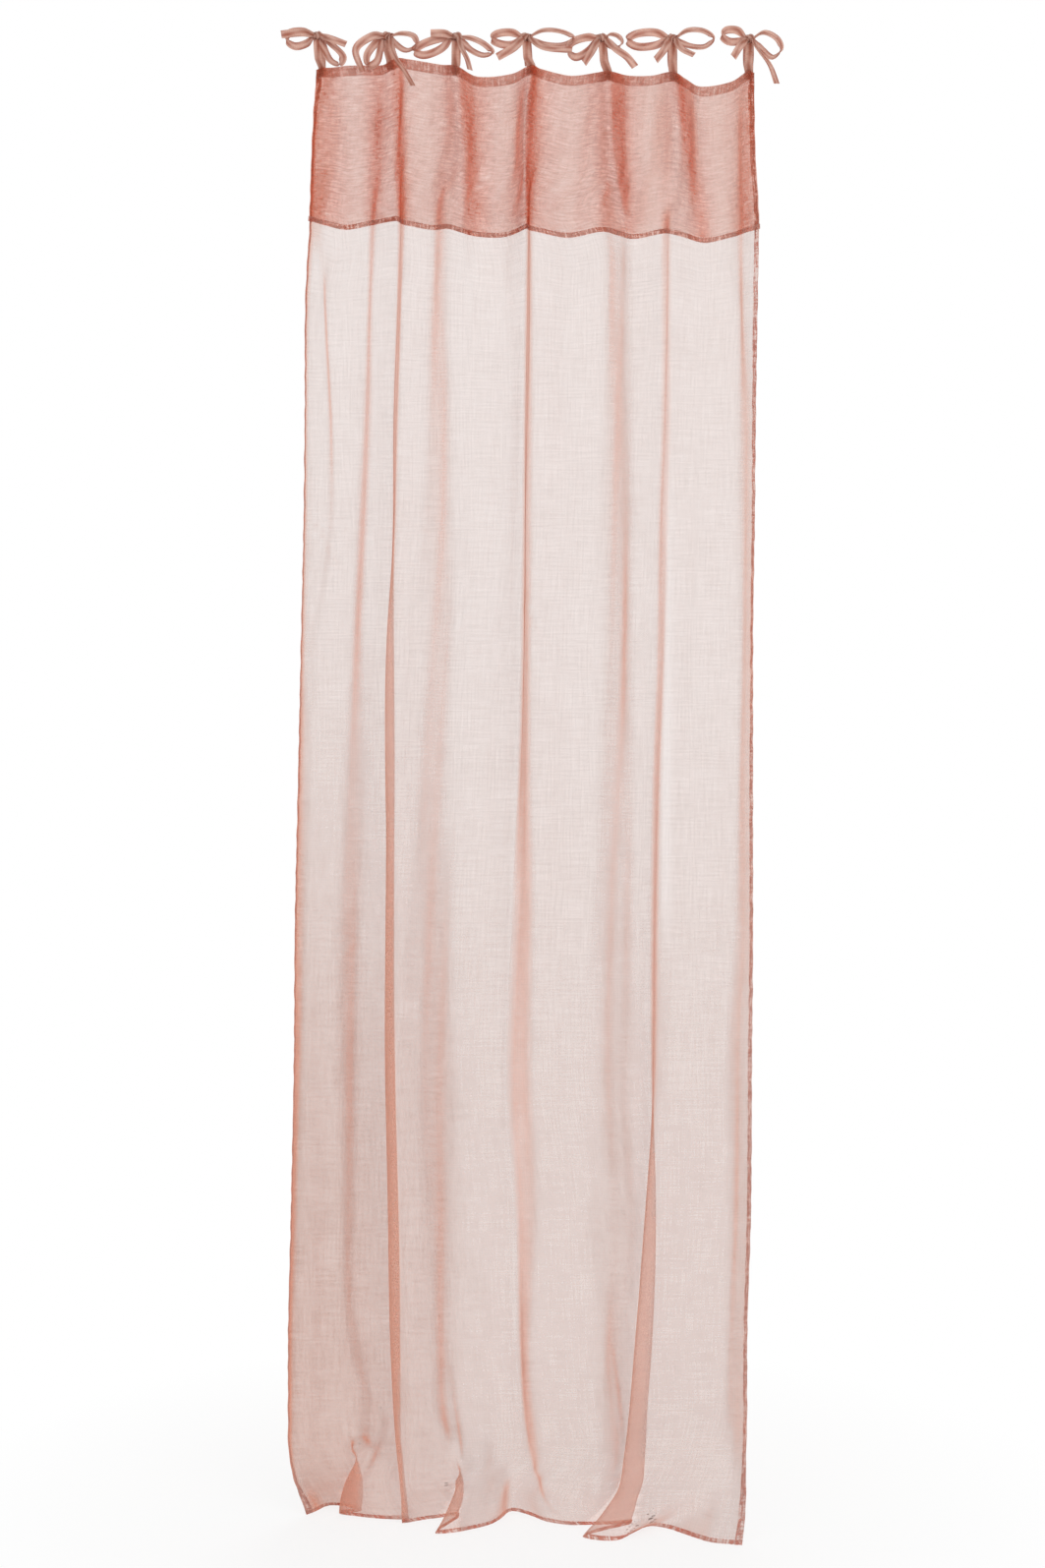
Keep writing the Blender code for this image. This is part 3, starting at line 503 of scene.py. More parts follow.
def cloth_rows(rows, spots):
    # rows of the cloth, their folds as deep as the cloth's own width asks for
    rows = np.asarray(rows, float)
    lines = len(HEADING_EDGE)
    fine = np.arange((lines - 1) * MEASURE_STEPS + 1) / MEASURE_STEPS
    low = np.full(len(rows), LEAST_FULLNESS)
    high = np.full(len(rows), MOST_FULLNESS)
    for _ in range(HALVINGS):
        middle = (low + high) / 2
        curve = spline(fold_lines(rows, middle), fine)
        short = np.linalg.norm(np.diff(curve, axis=1), axis=2).sum(axis=1) < FLAT_WIDTH
        low = np.where(short, middle, low)
        high = np.where(short, high, middle)
    resting = blend(BREAK_ROW, REST_ROW, rows) + 1 - blend(HEADING_ROW, GATHER_ROW, rows)
    fullness = (low + high) / 2 * (1 - resting) + resting
    return spline(fold_lines(rows, fullness), spots)


def grid_normals(grid):
    # the direction that the cloth faces at each point
    normal = np.cross(np.gradient(grid, axis=0), np.gradient(grid, axis=1))
    return normal / np.linalg.norm(normal, axis=2)[:, :, None]


def measure(grid):
    # how far each point of the cloth lies across it and down it, in metres of flat cloth
    across = np.linalg.norm(np.diff(grid, axis=1), axis=2)
    across = np.concatenate([np.zeros((len(grid), 1)), np.cumsum(across, axis=1)], axis=1)
    across *= FLAT_WIDTH / across[:, -1:]
    down = np.linalg.norm(np.diff(grid, axis=0), axis=2).mean(axis=1)
    down = np.concatenate([[0.0], np.cumsum(down)])
    return across, np.repeat(down[:, None], grid.shape[1], axis=1)


# Small creases: height in millimetres, half width in chart columns, and a path on the chart
CREASES = [
    (5.0, 4.0, [(385, 1432), (386, 1449), (381, 1476), (367, 1508)]),
    (5.0, 4.5, [(356, 1502), (360, 1474), (369, 1466), (377, 1475), (371, 1495)]),
    (4.5, 4.0, [(455, 1385), (460, 1432), (467, 1483), (472, 1511)]),
    (4.0, 4.5, [(445, 1519), (456, 1506), (468, 1506), (475, 1517)]),
    (2.4, 3.5, [(540, 1450), (547, 1495), (558, 1526), (576, 1546)]),
    (2.4, 6.0, [(600, 1400), (592, 1440), (580, 1490), (573, 1525)]),
    (2.0, 3.5, [(622, 1370), (629, 1430), (634, 1478)]),
    (2.0, 4.0, [(650, 1530), (664, 1549)]),
    (1.6, 4.0, [(315, 525), (330, 545), (347, 582)]),
    (1.4, 4.0, [(314, 619), (326, 672)]),
    (1.4, 4.0, [(312, 705), (320, 768)]),
    (1.4, 4.0, [(344, 978), (362, 952)]),
    (1.4, 4.0, [(462, 646), (481, 603)]),
    (2.0, 3.5, [(535, 613), (551, 647)]),
    (1.3, 3.0, [(481, 245), (480, 345)]),
    (1.3, 3.0, [(512, 245), (513, 345)]),
    (1.2, 3.0, [(577, 245), (580, 430)]),
    (1.2, 3.5, [(437, 240), (445, 345)]),
    (1.8, 3.0, [(325, 236), (334, 330), (337, 420)]),
    (1.4, 4.0, [(655, 700), (650, 900), (652, 1050)]),
    (1.4, 5.0, [(486, 560), (492, 760), (488, 980)]),
]


def crease_height(columns, rows):
    # how far the small creases lift the cloth off its plain fold
    lift = np.zeros_like(columns)
    for height, half, path in CREASES:
        near = np.full(columns.shape, np.inf)
        share = np.zeros_like(columns)
        steps = len(path) - 1
        for k in range(steps):
            (x0, y0), (x1, y1) = path[k], path[k + 1]
            length = math.hypot(x1 - x0, y1 - y0)
            t = ((columns - x0) * (x1 - x0) + (rows - y0) * (y1 - y0)) / length ** 2
            t = np.clip(t, 0.0, 1.0)
            gap = np.hypot(columns - x0 - t * (x1 - x0), rows - y0 - t * (y1 - y0))
            share = np.where(gap < near, (k + t) / steps, share)
            near = np.minimum(near, gap)
        lift += height * DEPTH_STEP * np.exp(-(near / half) ** 2) * np.sin(math.pi * share) ** 0.5
    return lift


# The broad and the fine unevenness of hanging cloth, how far from its side and top edges they
# reach their full height, and the pucker of a sewn edge and how far in it reaches
SWELL = 0.0011
RIPPLE = 0.0007
CALM_SIDE = 0.06
CALM_TOP = 0.10
PUCKER = 0.0007
PUCKER_REACH = 0.016


def ripple(across, down):
    # waves in radians for each metre of cloth, picked so that they never fall into step
    soft = SWELL * np.sin(across * 61 + 1.3 * np.sin(down * 5.1))
    soft += RIPPLE * np.sin(across * 143 + down * 7.3 + 2.0)
    edge = np.minimum(across, FLAT_WIDTH - across)
    near = np.exp(-(edge / PUCKER_REACH) ** 2)
    pucker = 0.6 * np.sin(down * 163 + 2.1 * np.sin(down * 23)) + 0.4 * np.sin(down * 97 + 1.0)
    soft *= blend(0.0, CALM_SIDE, edge) * blend(0.0, CALM_TOP, down)
    return soft + PUCKER * near * pucker


class ClothMap:
    """The hanging cloth as one grid of points, which every sewn piece is laid on."""

    def __init__(self, rows, spots):
        grid = cloth_rows(rows, spots)
        self.rows = np.asarray(rows, float)
        self.across, self.down = measure(grid)
        self.columns = chart_columns(self.rows, spots)
        lift = ripple(self.across, self.down) + crease_height(self.columns, self.rows[:, None])
        self.grid = grid + grid_normals(grid) * lift[:, :, None]
        self.grid[:, :, 2] = np.maximum(self.grid[:, :, 2], FLOOR_HEIGHT + FLOOR_GAP)
        self.normals = grid_normals(self.grid)

    def strip(self, low, high, count):
        # the same rows, cut to a strip of the cloth's own width
        targets = np.linspace(low, high, count)
        grid = np.empty((len(self.rows), count, 3))
        normals = np.empty_like(grid)
        for r, line in enumerate(self.across):
            for k in range(3):
                grid[r, :, k] = np.interp(targets, line, self.grid[r, :, k])
                normals[r, :, k] = np.interp(targets, line, self.normals[r, :, k])
        normals /= np.linalg.norm(normals, axis=2)[:, :, None]
        across = np.repeat(targets[None, :], len(self.rows), axis=0)
        down = np.repeat(self.down[:, :1], count, axis=1)
        return SimpleNamespace(grid=grid, normals=normals, across=across, down=down)


def fine_spots(fineness):
    # places across the cloth, counted in fold lines
    counts = [facets * fineness for facets in FACETS]
    return np.concatenate([i + np.arange(n) / n for i, n in enumerate(counts)] + [[len(counts)]])


def fine_rows(low, high, step):
    # chart rows from low to high, about one step in metres apart
    return np.linspace(low, high, math.ceil((high - low) * STEP_Z / step) + 1)


def shell_part(grid, normals, offset, thickness, uv, density_and_shade=1.0, warmth=0.0):
    # one closed sheet: two skins either side of the grid and a rim all round
    rows, columns = grid.shape[:2]
    half = thickness / 2
    skins = [(grid + normals * (offset + half)).reshape(-1, 3),
             (grid + normals * (offset - half)).reshape(-1, 3)]
    count = rows * columns
    corner = (np.arange(rows - 1)[:, None] * columns + np.arange(columns - 1)[None, :]).ravel()
    front = np.stack([corner, corner + columns, corner + columns + 1, corner + 1], axis=1)
    back = front[:, ::-1] + count
    rim = np.concatenate([
        np.arange(columns), np.arange(1, rows) * columns + columns - 1,
        (rows - 1) * columns + np.arange(columns - 2, -1, -1), np.arange(rows - 2, 0, -1) * columns])
    after = np.roll(rim, -1)
    edge = np.stack([rim, after, after + count, rim + count], axis=1)
    part = {"points": np.concatenate(skins), "faces": np.concatenate([front, back, edge]),
            "uv": np.concatenate([uv.reshape(-1, 2)] * 2)}
    # the fullness attribute holds painted shade as well as the cloth's own fullness
    for name, values in (("fullness", density_and_shade), ("warmth", warmth)):
        part[name] = np.tile(np.broadcast_to(values, (rows, columns)).ravel(), 2)
    return part


def put(name, data):
    # a new object in the scene
    item = bpy.data.objects.new(name, data)
    bpy.context.scene.collection.objects.link(item)
    return item


def make_piece(name, parts, material):
    # one object out of closed sheets, with the cloth's own measure as its UV map
    starts = np.cumsum([0] + [len(part["points"]) for part in parts])
    points = np.concatenate([part["points"] for part in parts])
    faces = np.concatenate([part["faces"] + start for part, start in zip(parts, starts)])
    uv = np.concatenate([part["uv"] for part in parts])
    mesh = bpy.data.meshes.new(name)
    mesh.from_pydata(points.tolist(), [], faces.tolist())
    corners = np.empty(len(mesh.loops), dtype=np.int32)
    mesh.loops.foreach_get("vertex_index", corners)
    layer = mesh.uv_layers.new(name="cloth")
    layer.data.foreach_set("uv", uv[corners].astype(np.float32).ravel())
    for key in ("fullness", "warmth"):
        values = np.concatenate([part[key] for part in parts]).astype(np.float32)
        mesh.attributes.new(key, "FLOAT", "POINT").data.foreach_set("value", values)
    mesh.shade_smooth()
    mesh.set_sharp_from_angle(angle=math.radians(60.0))
    mesh.materials.append(material)
    mesh.update()
    return put(name, mesh)


# Materials: the size of the cloth's thick and thin patches and how much they show, the spread of
# the noise about its middle, and how far yarns stand out
CLOUD_SCALE = 14.0
CLOUD_SHARE = 0.4
NOISE_SPAN = 0.2
YARN_RELIEF = 0.0006


def add_node(tree, kind, settings=None, links=None):
    """Adds a node. settings maps an attribute or an input's index or name to its value, and
    links maps an input to the output socket that feeds it."""
    node = tree.nodes.new(kind)
    for key, value in (settings or {}).items():
        if isinstance(key, str) and hasattr(node, key):
            setattr(node, key, value)
        else:
            node.inputs[key].default_value = value
    for key, source in (links or {}).items():
        tree.links.new(source, node.inputs[key])
    return node


def opaque(colour):
    # a colour as the four values that a node takes
    return (*colour, 1.0)


def blank_material(name):
    # a material without nodes, and its tree
    material = bpy.data.materials.new(name)
    material.use_nodes = True
    material.node_tree.nodes.clear()
    return material, material.node_tree


def woven_material(name, pale, deep, cover, glow, veil, veil_density, slub, yarn_mm, dash_mm,
                   warp_share, bump):
    """Sheer cloth. pale is the yarn's colour where the cloth is plain, and deep the colour that the
    warmth attribute mixes in, which on the voile, the header and the ribbons is painted fold shade, the
    redder colour that folds show where light passes through them more than once; cover is the share of
    each skin that is yarn, glow the share of light that the yarn passes on, and veil the tint that the
    cloth's own depth gives to what is seen through it. Thick stretches of yarn are dash_mm long and
    yarn_mm apart, slub is how much thicker they are, and warp_share is how much the upright ones show."""
    material, tree = blank_material(name)
    cloth_map = add_node(tree, "ShaderNodeUVMap", {"uv_map": "cloth"}).outputs["UV"]
    fine, long = 1000.0 / yarn_mm, 1000.0 / dash_mm
    yarns = []
    for scale in ((fine, long, 1.0), (long, fine, 1.0)):
        stretch = add_node(tree, "ShaderNodeMapping", {"Scale": scale}, {"Vector": cloth_map})
        yarns.append(add_node(
            tree, "ShaderNodeTexNoise",
            {"noise_dimensions": "2D", "Scale": 1.0, "Detail": 2.0, "Roughness": 0.6},
            {"Vector": stretch.outputs[0]}).outputs["Fac"])
    cloud = add_node(tree, "ShaderNodeTexNoise",
                     {"noise_dimensions": "2D", "Scale": CLOUD_SCALE, "Detail": 3.0},
                     {"Vector": cloth_map})
    both = add_node(tree, "ShaderNodeMath", {"operation": "MULTIPLY_ADD", 1: warp_share},
                    {0: yarns[0], 2: yarns[1]})
    patchy = add_node(tree, "ShaderNodeMath", {"operation": "MULTIPLY_ADD", 1: CLOUD_SHARE},
                      {0: cloud.outputs["Fac"], 2: both.outputs[0]})
    middle = (1.0 + warp_share + CLOUD_SHARE) / 2
    thin = add_node(tree, "ShaderNodeMapRange",
                    {"clamp": False, "From Min": middle - NOISE_SPAN, "From Max": middle + NOISE_SPAN,
                     "To Min": 1.0 - slub, "To Max": 1.0 + slub},
                    {"Value": patchy.outputs[0]})
    # the fullness attribute carries painted shade: cloth drawn denser along folds, low down and on the
    # left
    fullness = add_node(tree, "ShaderNodeAttribute", {"attribute_name": "fullness"}).outputs["Fac"]
    dense_and_shaded = add_node(tree, "ShaderNodeMath", {"operation": "MULTIPLY"},
                     {0: thin.outputs[0], 1: fullness})
    share = add_node(tree, "ShaderNodeMath", {"operation": "MULTIPLY", "use_clamp": True, 1: cover},
                     {0: dense_and_shaded.outputs[0]})
    # the warmth attribute mixes in the deep colour, which is mostly painted fold shade
    warmth = add_node(tree, "ShaderNodeAttribute", {"attribute_name": "warmth"}).outputs["Fac"]
    tint = add_node(tree, "ShaderNodeMix",
                    {"data_type": "RGBA", 6: opaque(pale), 7: opaque(deep)}, {0: warmth})
    shade = add_node(tree, "ShaderNodeMapRange",
                     {"From Min": 0.7, "From Max": 1.3, "To Min": 1.07, "To Max": 0.92},
                     {"Value": thin.outputs[0]})
    tint = add_node(tree, "ShaderNodeVectorMath", {"operation": "SCALE"},
                    {0: tint.outputs[2], "Scale": shade.outputs[0]})
    relief = add_node(tree, "ShaderNodeBump", {"Strength": bump, "Distance": YARN_RELIEF},
                      {"Height": both.outputs[0]})
    lit = add_node(tree, "ShaderNodeBsdfPrincipled",
                   {"Roughness": 0.85, "Sheen Weight": 0.08, "Sheen Roughness": 0.5,
                    "Specular IOR Level": 0.2},
                   {"Base Color": tint.outputs[0], "Normal": relief.outputs[0]})
    passed = add_node(tree, "ShaderNodeBsdfTranslucent", {}, {"Color": tint.outputs[0]})
    yarn = add_node(tree, "ShaderNodeMixShader", {0: glow},
                    {1: lit.outputs[0], 2: passed.outputs[0]})
    gaps = add_node(tree, "ShaderNodeBsdfTransparent", {"Color": (1.0, 1.0, 1.0, 1.0)})
    cloth = add_node(tree, "ShaderNodeMixShader", {},
                     {0: share.outputs[0], 1: gaps.outputs[0], 2: yarn.outputs[0]})
    inside = add_node(tree, "ShaderNodeVolumeAbsorption",
                      {"Color": opaque(veil), "Density": veil_density})
    add_node(tree, "ShaderNodeOutputMaterial", {},
             {"Surface": cloth.outputs[0], "Volume": inside.outputs[0]})
    return material


def thread_material(colours):
    # polyester sewing thread: spun, slightly shiny, a shade darker than the cloth
    material, tree = blank_material("polyester_thread")
    spot = add_node(tree, "ShaderNodeTexCoord").outputs["Object"]
    fleck = add_node(tree, "ShaderNodeTexNoise", {"Scale": 900.0, "Detail": 2.0}, {"Vector": spot})
    tone = add_node(tree, "ShaderNodeMapRange", {"To Min": 0.85, "To Max": 1.15},
                    {"Value": fleck.outputs["Fac"]})
    tint = add_node(tree, "ShaderNodeVectorMath",
                    {"operation": "SCALE", 0: tuple(colours.thread)}, {"Scale": tone.outputs[0]})
    shader = add_node(tree, "ShaderNodeBsdfPrincipled", {"Roughness": 0.55, "Sheen Weight": 0.2},
                      {"Base Color": tint.outputs[0]})
    add_node(tree, "ShaderNodeOutputMaterial", {}, {"Surface": shader.outputs[0]})
    return material


def voile_material(colours):
    # cotton voile: thin twisted yarns in an open plain weave, so that most of it is gaps. Its
    # 0.4 mm threads are drawn as 3 mm streaks, because single ones are too fine to show
    return woven_material(
        "cotton_voile", colours.plain_voile, colours.fold_shade_voile, cover=0.24, glow=0.5,
        veil=(0.80, 0.50, 0.40), veil_density=190.0, slub=0.08, yarn_mm=3.0, dash_mm=60.0,
        warp_share=1.0, bump=0.04)


def header_material(colours):
    # the same voile, laid double in the header, where its slubs show as dark dashes
    return woven_material(
        "slubbed_cotton_voile", colours.plain_header, colours.fold_shade_header, cover=0.175, glow=0.5,
        veil=(0.88, 0.37, 0.16), veil_density=420.0, slub=0.38, yarn_mm=3.2, dash_mm=22.0,
        warp_share=0.45, bump=0.12)


def hem_material(colours):
    # voile turned over twice and sewn: three layers that nearly close the weave
    return woven_material(
        "folded_cotton_voile", colours.hem, colours.header_hem, cover=0.46, glow=0.5,
        veil=(0.84, 0.48, 0.36), veil_density=420.0, slub=0.85, yarn_mm=3.4, dash_mm=24.0,
        warp_share=1.6, bump=0.3)


def tape_material(colours):
    # cotton tape: close plain weave, matt, hardly any light comes through
    return woven_material(
        "cotton_tape", colours.tape, colours.header_hem, cover=0.42, glow=0.45,
        veil=(0.66, 0.38, 0.30), veil_density=400.0, slub=0.5, yarn_mm=3.4, dash_mm=24.0,
        warp_share=1.6, bump=0.3)


def ribbon_material(colours):
    # ribbon of folded voile: four layers, matt and soft, with painted shade along its folds
    return woven_material(
        "folded_voile_ribbon", colours.ribbon, colours.ribbon_crease_shade, cover=0.80, glow=0.35,
        veil=(0.74, 0.48, 0.38), veil_density=300.0, slub=0.12, yarn_mm=2.5, dash_mm=30.0,
        warp_share=1.0, bump=0.3)


MAKERS = {"voile": voile_material, "header": header_material, "hem": hem_material,
          "tape": tape_material, "ribbon": ribbon_material, "thread": thread_material}
MATERIALS = {}


def finish(kind, colours):
    # each material is made once and shared
    if kind not in MATERIALS:
        MATERIALS[kind] = MAKERS[kind](colours)
    return MATERIALS[kind]


# Pieces

def body_name():
    # the curtain is one body
    return sorted(frame["bodies"])[0]


def sewn_piece(name, cloth, stand, thickness, material, density_and_shade=1.0, warmth=0.0, start=0.0):
    # one layer of cloth laid on the hanging cloth, its weave taken from a start on down the pattern
    uv = np.stack([cloth.across, cloth.down + start], axis=2)
    part = shell_part(cloth.grid, cloth.normals, stand, thickness, uv, density_and_shade, warmth)
    return make_piece(name, [part], material)


def layered(columns, rows):
    # 1 where a fold lays three layers of cloth over each other, fading in chart columns beside it
    lines = hermite(FOLD_ROWS, FOLD_COLUMNS, rows)
    total = np.zeros_like(columns)
    for line in LAPPED_LINES:
        right, left = lines[:, line, None], lines[:, line + 1, None]
        depth = np.minimum(columns - left, right - columns)
        total = np.maximum(total, blend(-1.0, 0.5, depth) * blend(0.5, 3.0, right - left))
    return total


# How much denser cloth is drawn where it leans away from the front, as painted fold shade,
# and how far the header follows that
LEAN_LIMIT = 0.3
LEAN_POWER = 0.45
HEADER_LEAN_POWER = 0.4

# Painted shade and light along the panel's folds, drawn as cloth that lies dense or thin there: chart
# column, half width in columns, strength, and the chart rows between which it shows
PANEL_SHADE_BANDS = [(678, 7, -0.38, 150, 1000), (637, 6, 0.4, 150, 800), (376, 7, -0.18, 150, 700),
               (530, 9, -0.2, 800, 1400), (630, 20, 0.08, 850, 1500), (517, 4, 0.3, 150, 330),
               (447, 12, -0.06, 380, 900), (404, 5, 0.12, 250, 700)]


def panel_shade_bands(columns, rows):
    # painted shade and light in bands along the folds, as a share of the cloth's fullness
    total = np.ones_like(columns)
    for middle, half, strength, above, below in PANEL_SHADE_BANDS:
        shown = blend(above, above + 100, rows) * (1 - blend(below - 100, below, rows))
        total += strength * np.exp(-((columns - middle) / half) ** 2) * shown[:, None]
    return total


def panel_density_and_shade(columns, rows):
    # cloth looks fuller low down and on the left, where less light comes through from behind.
    # Each number is a share of the plain cloth's fullness, or the chart rows or columns between
    # which that share grows
    # painted shade and light: the bands along the folds, and the darker foot and left side
    lapped = layered(columns, rows)
    shade_bands = panel_shade_bands(columns, rows)
    rows = rows[:, None]
    middle = blend(250, 750, rows)
    low = blend(600, 1300, rows)
    left = 1.0 - blend(300, 520, columns)
    right = blend(480, 700, columns) * (1 - middle)
    full = 1.0 + middle * (0.12 + 0.12 * left) + low * (0.40 + 0.90 * left) + 0.12 * right
    full = full - 0.08 * blend(1400, 1500, rows) * (1 - left)
    return full * shade_bands * (1 - (0.46 - 0.14 * left) * lapped)


def lean_shade(normals):
    # painted fold shade: cloth that leans away from the front is drawn denser, as it would show
    # more yarn for its width seen from the front
    return 1.0 / np.clip(np.abs(normals[:, :, 1]), LEAN_LIMIT, 1.0) ** LEAN_POWER


def panel_warmth(normals, columns, rows):
    # folds and the foot of the panel look redder, because more light comes through them twice
    folds = blend(1.08, 1.5, lean_shade(normals))
    left = 1.0 - blend(300, 520, columns)
    low = 0.16 * blend(600, 1500, rows)[:, None] + 0.06 * left * blend(1150, 1500, rows)[:, None]
    return np.clip(0.12 + 0.85 * np.maximum(folds, layered(columns, rows)) + low, 0.0, 1.0)


# Painted shade and light in the header, drawn as cloth that lies dense or thin along its folds: chart
# column at the top and at the flap's hem, half width in columns, and strength
HEADER_SHADE_BANDS = [(320, 317, 5, 0.6), (330, 330, 19, 0.85), (358, 366, 9, -0.3), (386, 380, 13, 0.8),
                (404, 410, 9, 0.95), (434, 432, 12, -0.35), (456, 448, 6, 0.3), (478, 484, 17, 0.9),
                (512, 504, 10, -0.3), (546, 536, 15, 1.0), (583, 580, 14, -0.3), (602, 587, 5, 0.3),
                (620, 616, 12, 0.6), (634, 638, 11, 0.75), (664, 662, 13, -0.65),
                (692, 715, 10, 0.95), (728, 736, 12, -0.5), (764, 757, 10, 0.9)]
BAND_LIMITS = (-0.6, 1.3)
BAND_SHARPNESS = 1.2
TIE_COLUMNS = 9.0


def header_shade_bands(columns, rows):
    # painted shade and light in bands along the header's folds
    total = np.zeros_like(columns)
    share = blend(HEADING_ROW, FLAP_ROW, rows)[:, None]
    for above, below, half, strength in HEADER_SHADE_BANDS:
        middle = above + (below - above) * share
        total += strength * np.exp(-((columns - middle) / half) ** 2 * BAND_SHARPNESS)
    return np.clip(total, *BAND_LIMITS)


def near_ties(columns):
    # 1 under each tie, fading along the tape
    ties = np.array([FOLD_COLUMNS[0][line] for line in TIE_LINES], float)
    return np.exp(-((columns[:, :, None] - ties) / TIE_COLUMNS) ** 2).max(axis=2)


class CURTAIN_OT_voile_panel(bpy.types.Operator):
    """Makes the long voile panel with the hems down its sides and along its foot"""
    bl_idname = "curtain.voile_panel"
    bl_label = "Voile panel"

    def execute(self, context):
        sizes, colours = context.scene.curtain_sizes, context.scene.curtain_colours
        rows = np.concatenate([
            fine_rows(HEADING_ROW, BREAK_ROW, sizes.row_step),
            fine_rows(BREAK_ROW, FLOOR_ROW, sizes.row_step * FOOT_ROW_SHARE)[1:]])
        cloth = ClothMap(rows, fine_spots(sizes.fineness))
        # painted shade: the panel's fullness is drawn higher low down, on the left, along its folds and
        # where it leans
        density_and_shade = panel_density_and_shade(cloth.columns, rows) * lean_shade(cloth.normals)
        warmth = panel_warmth(cloth.normals, cloth.columns, rows)
        panel = sewn_piece("voile_cloth", cloth, 0.0, sizes.cloth, finish("voile", colours),
                           density_and_shade, warmth)
        stand = -(sizes.cloth + SEAM_GAP + sizes.hem_cloth) / 2
        beside_flap = (1 - blend(FLAP_ROW, FLAP_ROW + 10, rows))[:, None]
        hems = []
        # the left hem is drawn denser than the right: painted shade, as on the panel's left side
        for name, low, full in (("left_hem", 0.0, 1.4),
                                ("right_hem", FLAT_WIDTH - sizes.hem_width, 0.9)):
            strip = cloth.strip(low, low + sizes.hem_width, HEM_POINTS)
            hems.append(sewn_piece(
                name, strip, stand, sizes.hem_cloth, finish("hem", colours),
                full + 0.7 * beside_flap, beside_flap))
        foot = ClothMap(fine_rows(BOTTOM_HEM_ROW, FLOOR_ROW, NARROW_ROW_STEP),
                        fine_spots(sizes.fineness))
        hems.append(sewn_piece("bottom_hem", foot, stand, sizes.hem_cloth, finish("hem", colours)))
        for piece in [panel] + hems:
            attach(piece, body_name())
        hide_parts("voile_panel")
        return {"FINISHED"}


class CURTAIN_OT_header(bpy.types.Operator):
    """Makes the header flap, its hem and the tape along the top edge"""
    bl_idname = "curtain.header"
    bl_label = "Header"

    def execute(self, context):
        sizes, colours = context.scene.curtain_sizes, context.scene.curtain_colours
        spots = fine_spots(sizes.fineness)
        cloth = ClothMap(fine_rows(HEADING_ROW, FLAP_ROW, HEADER_ROW_STEP), spots)
        # painted shade: the header is drawn denser and redder in bands along its folds and where it
        # leans
        shade_bands = header_shade_bands(cloth.columns, cloth.rows)
        lapped = layered(cloth.columns, cloth.rows)
        density_and_shade = (1 + 0.95 * shade_bands) * (1 - 0.35 * lapped)
        density_and_shade *= lean_shade(cloth.normals) ** HEADER_LEAN_POWER
        flap = sewn_piece("flap_cloth", cloth, FLAP_STAND, sizes.cloth, finish("header", colours),
                          density_and_shade, np.clip(shade_bands, 0.0, 1.0), FLAP_PATTERN_START)
        hem = ClothMap(fine_rows(FLAP_HEM_TOP_ROW, FLAP_ROW, FLAP_HEM_ROW_STEP), spots)
        stand = FLAP_STAND + (sizes.cloth + SEAM_GAP + sizes.hem_cloth) / 2
        flap_hem = sewn_piece("flap_hem", hem, stand, sizes.hem_cloth, finish("hem", colours),
                              warmth=1.0)
        top = ClothMap(fine_rows(HEADING_ROW, TAPE_ROW, NARROW_ROW_STEP), spots)
        # the tape is drawn denser and warmer under each tie
        under_ties = near_ties(top.columns)
        tape = sewn_piece("top_tape", top, -TAPE_STAND, TAPE_CLOTH, finish("tape", colours),
                          0.8 + 0.5 * under_ties, under_ties)
        for piece, slot in ((flap, "header_flap"), (flap_hem, "header_flap"), (tape, "heading_tape")):
            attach(piece, body_name())
        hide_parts("header_flap")
        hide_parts("heading_tape")
        return {"FINISHED"}


# How a ribbon lies: points across it, its width in the knot's grip as a share of its own, how far
# from the knot it lies open, how deep it cups in a bow, in a knot's wrap and over the rod, its gap
# to the rod and its share of breadth there, and the steps along each of its stretches
RIBBON_POINTS = 7
GRIP_SHARE = 0.34
GRIP_REACH = 0.022
BOW_CUP = 0.0022
WRAP_CUP = 0.0014
LOOP_CUP = 0.0002
ROD_GAP = 0.0008
LOOP_BREADTH = 1.1
LOOP_STEPS = 40
BOW_STEPS = 7
WRAP_POINTS = 33

# Where a bow's loops and tails leave its knot
LOOP_FOOT = KNOT_WIDTH * 0.32
LOOP_FOOT_RISE = 0.002
TAIL_FOOT = KNOT_WIDTH * 0.24
TAIL_FOOT_SHARE = 0.2

# The wraps of each knot: how far they slant, other way round on every second one, and their size
KNOT_WRAPS = [(0.15, 0.86), (0.75, 1.06)]
WRAP_HEIGHT = KNOT_HEIGHT * 0.56
WRAP_DEPTH = KNOT_DEPTH * 0.52

# Directions in the room
ALONG_ROD = np.array([1.0, 0.0, 0.0])
FROM_FRONT = np.array([0.0, 1.0, 0.0])


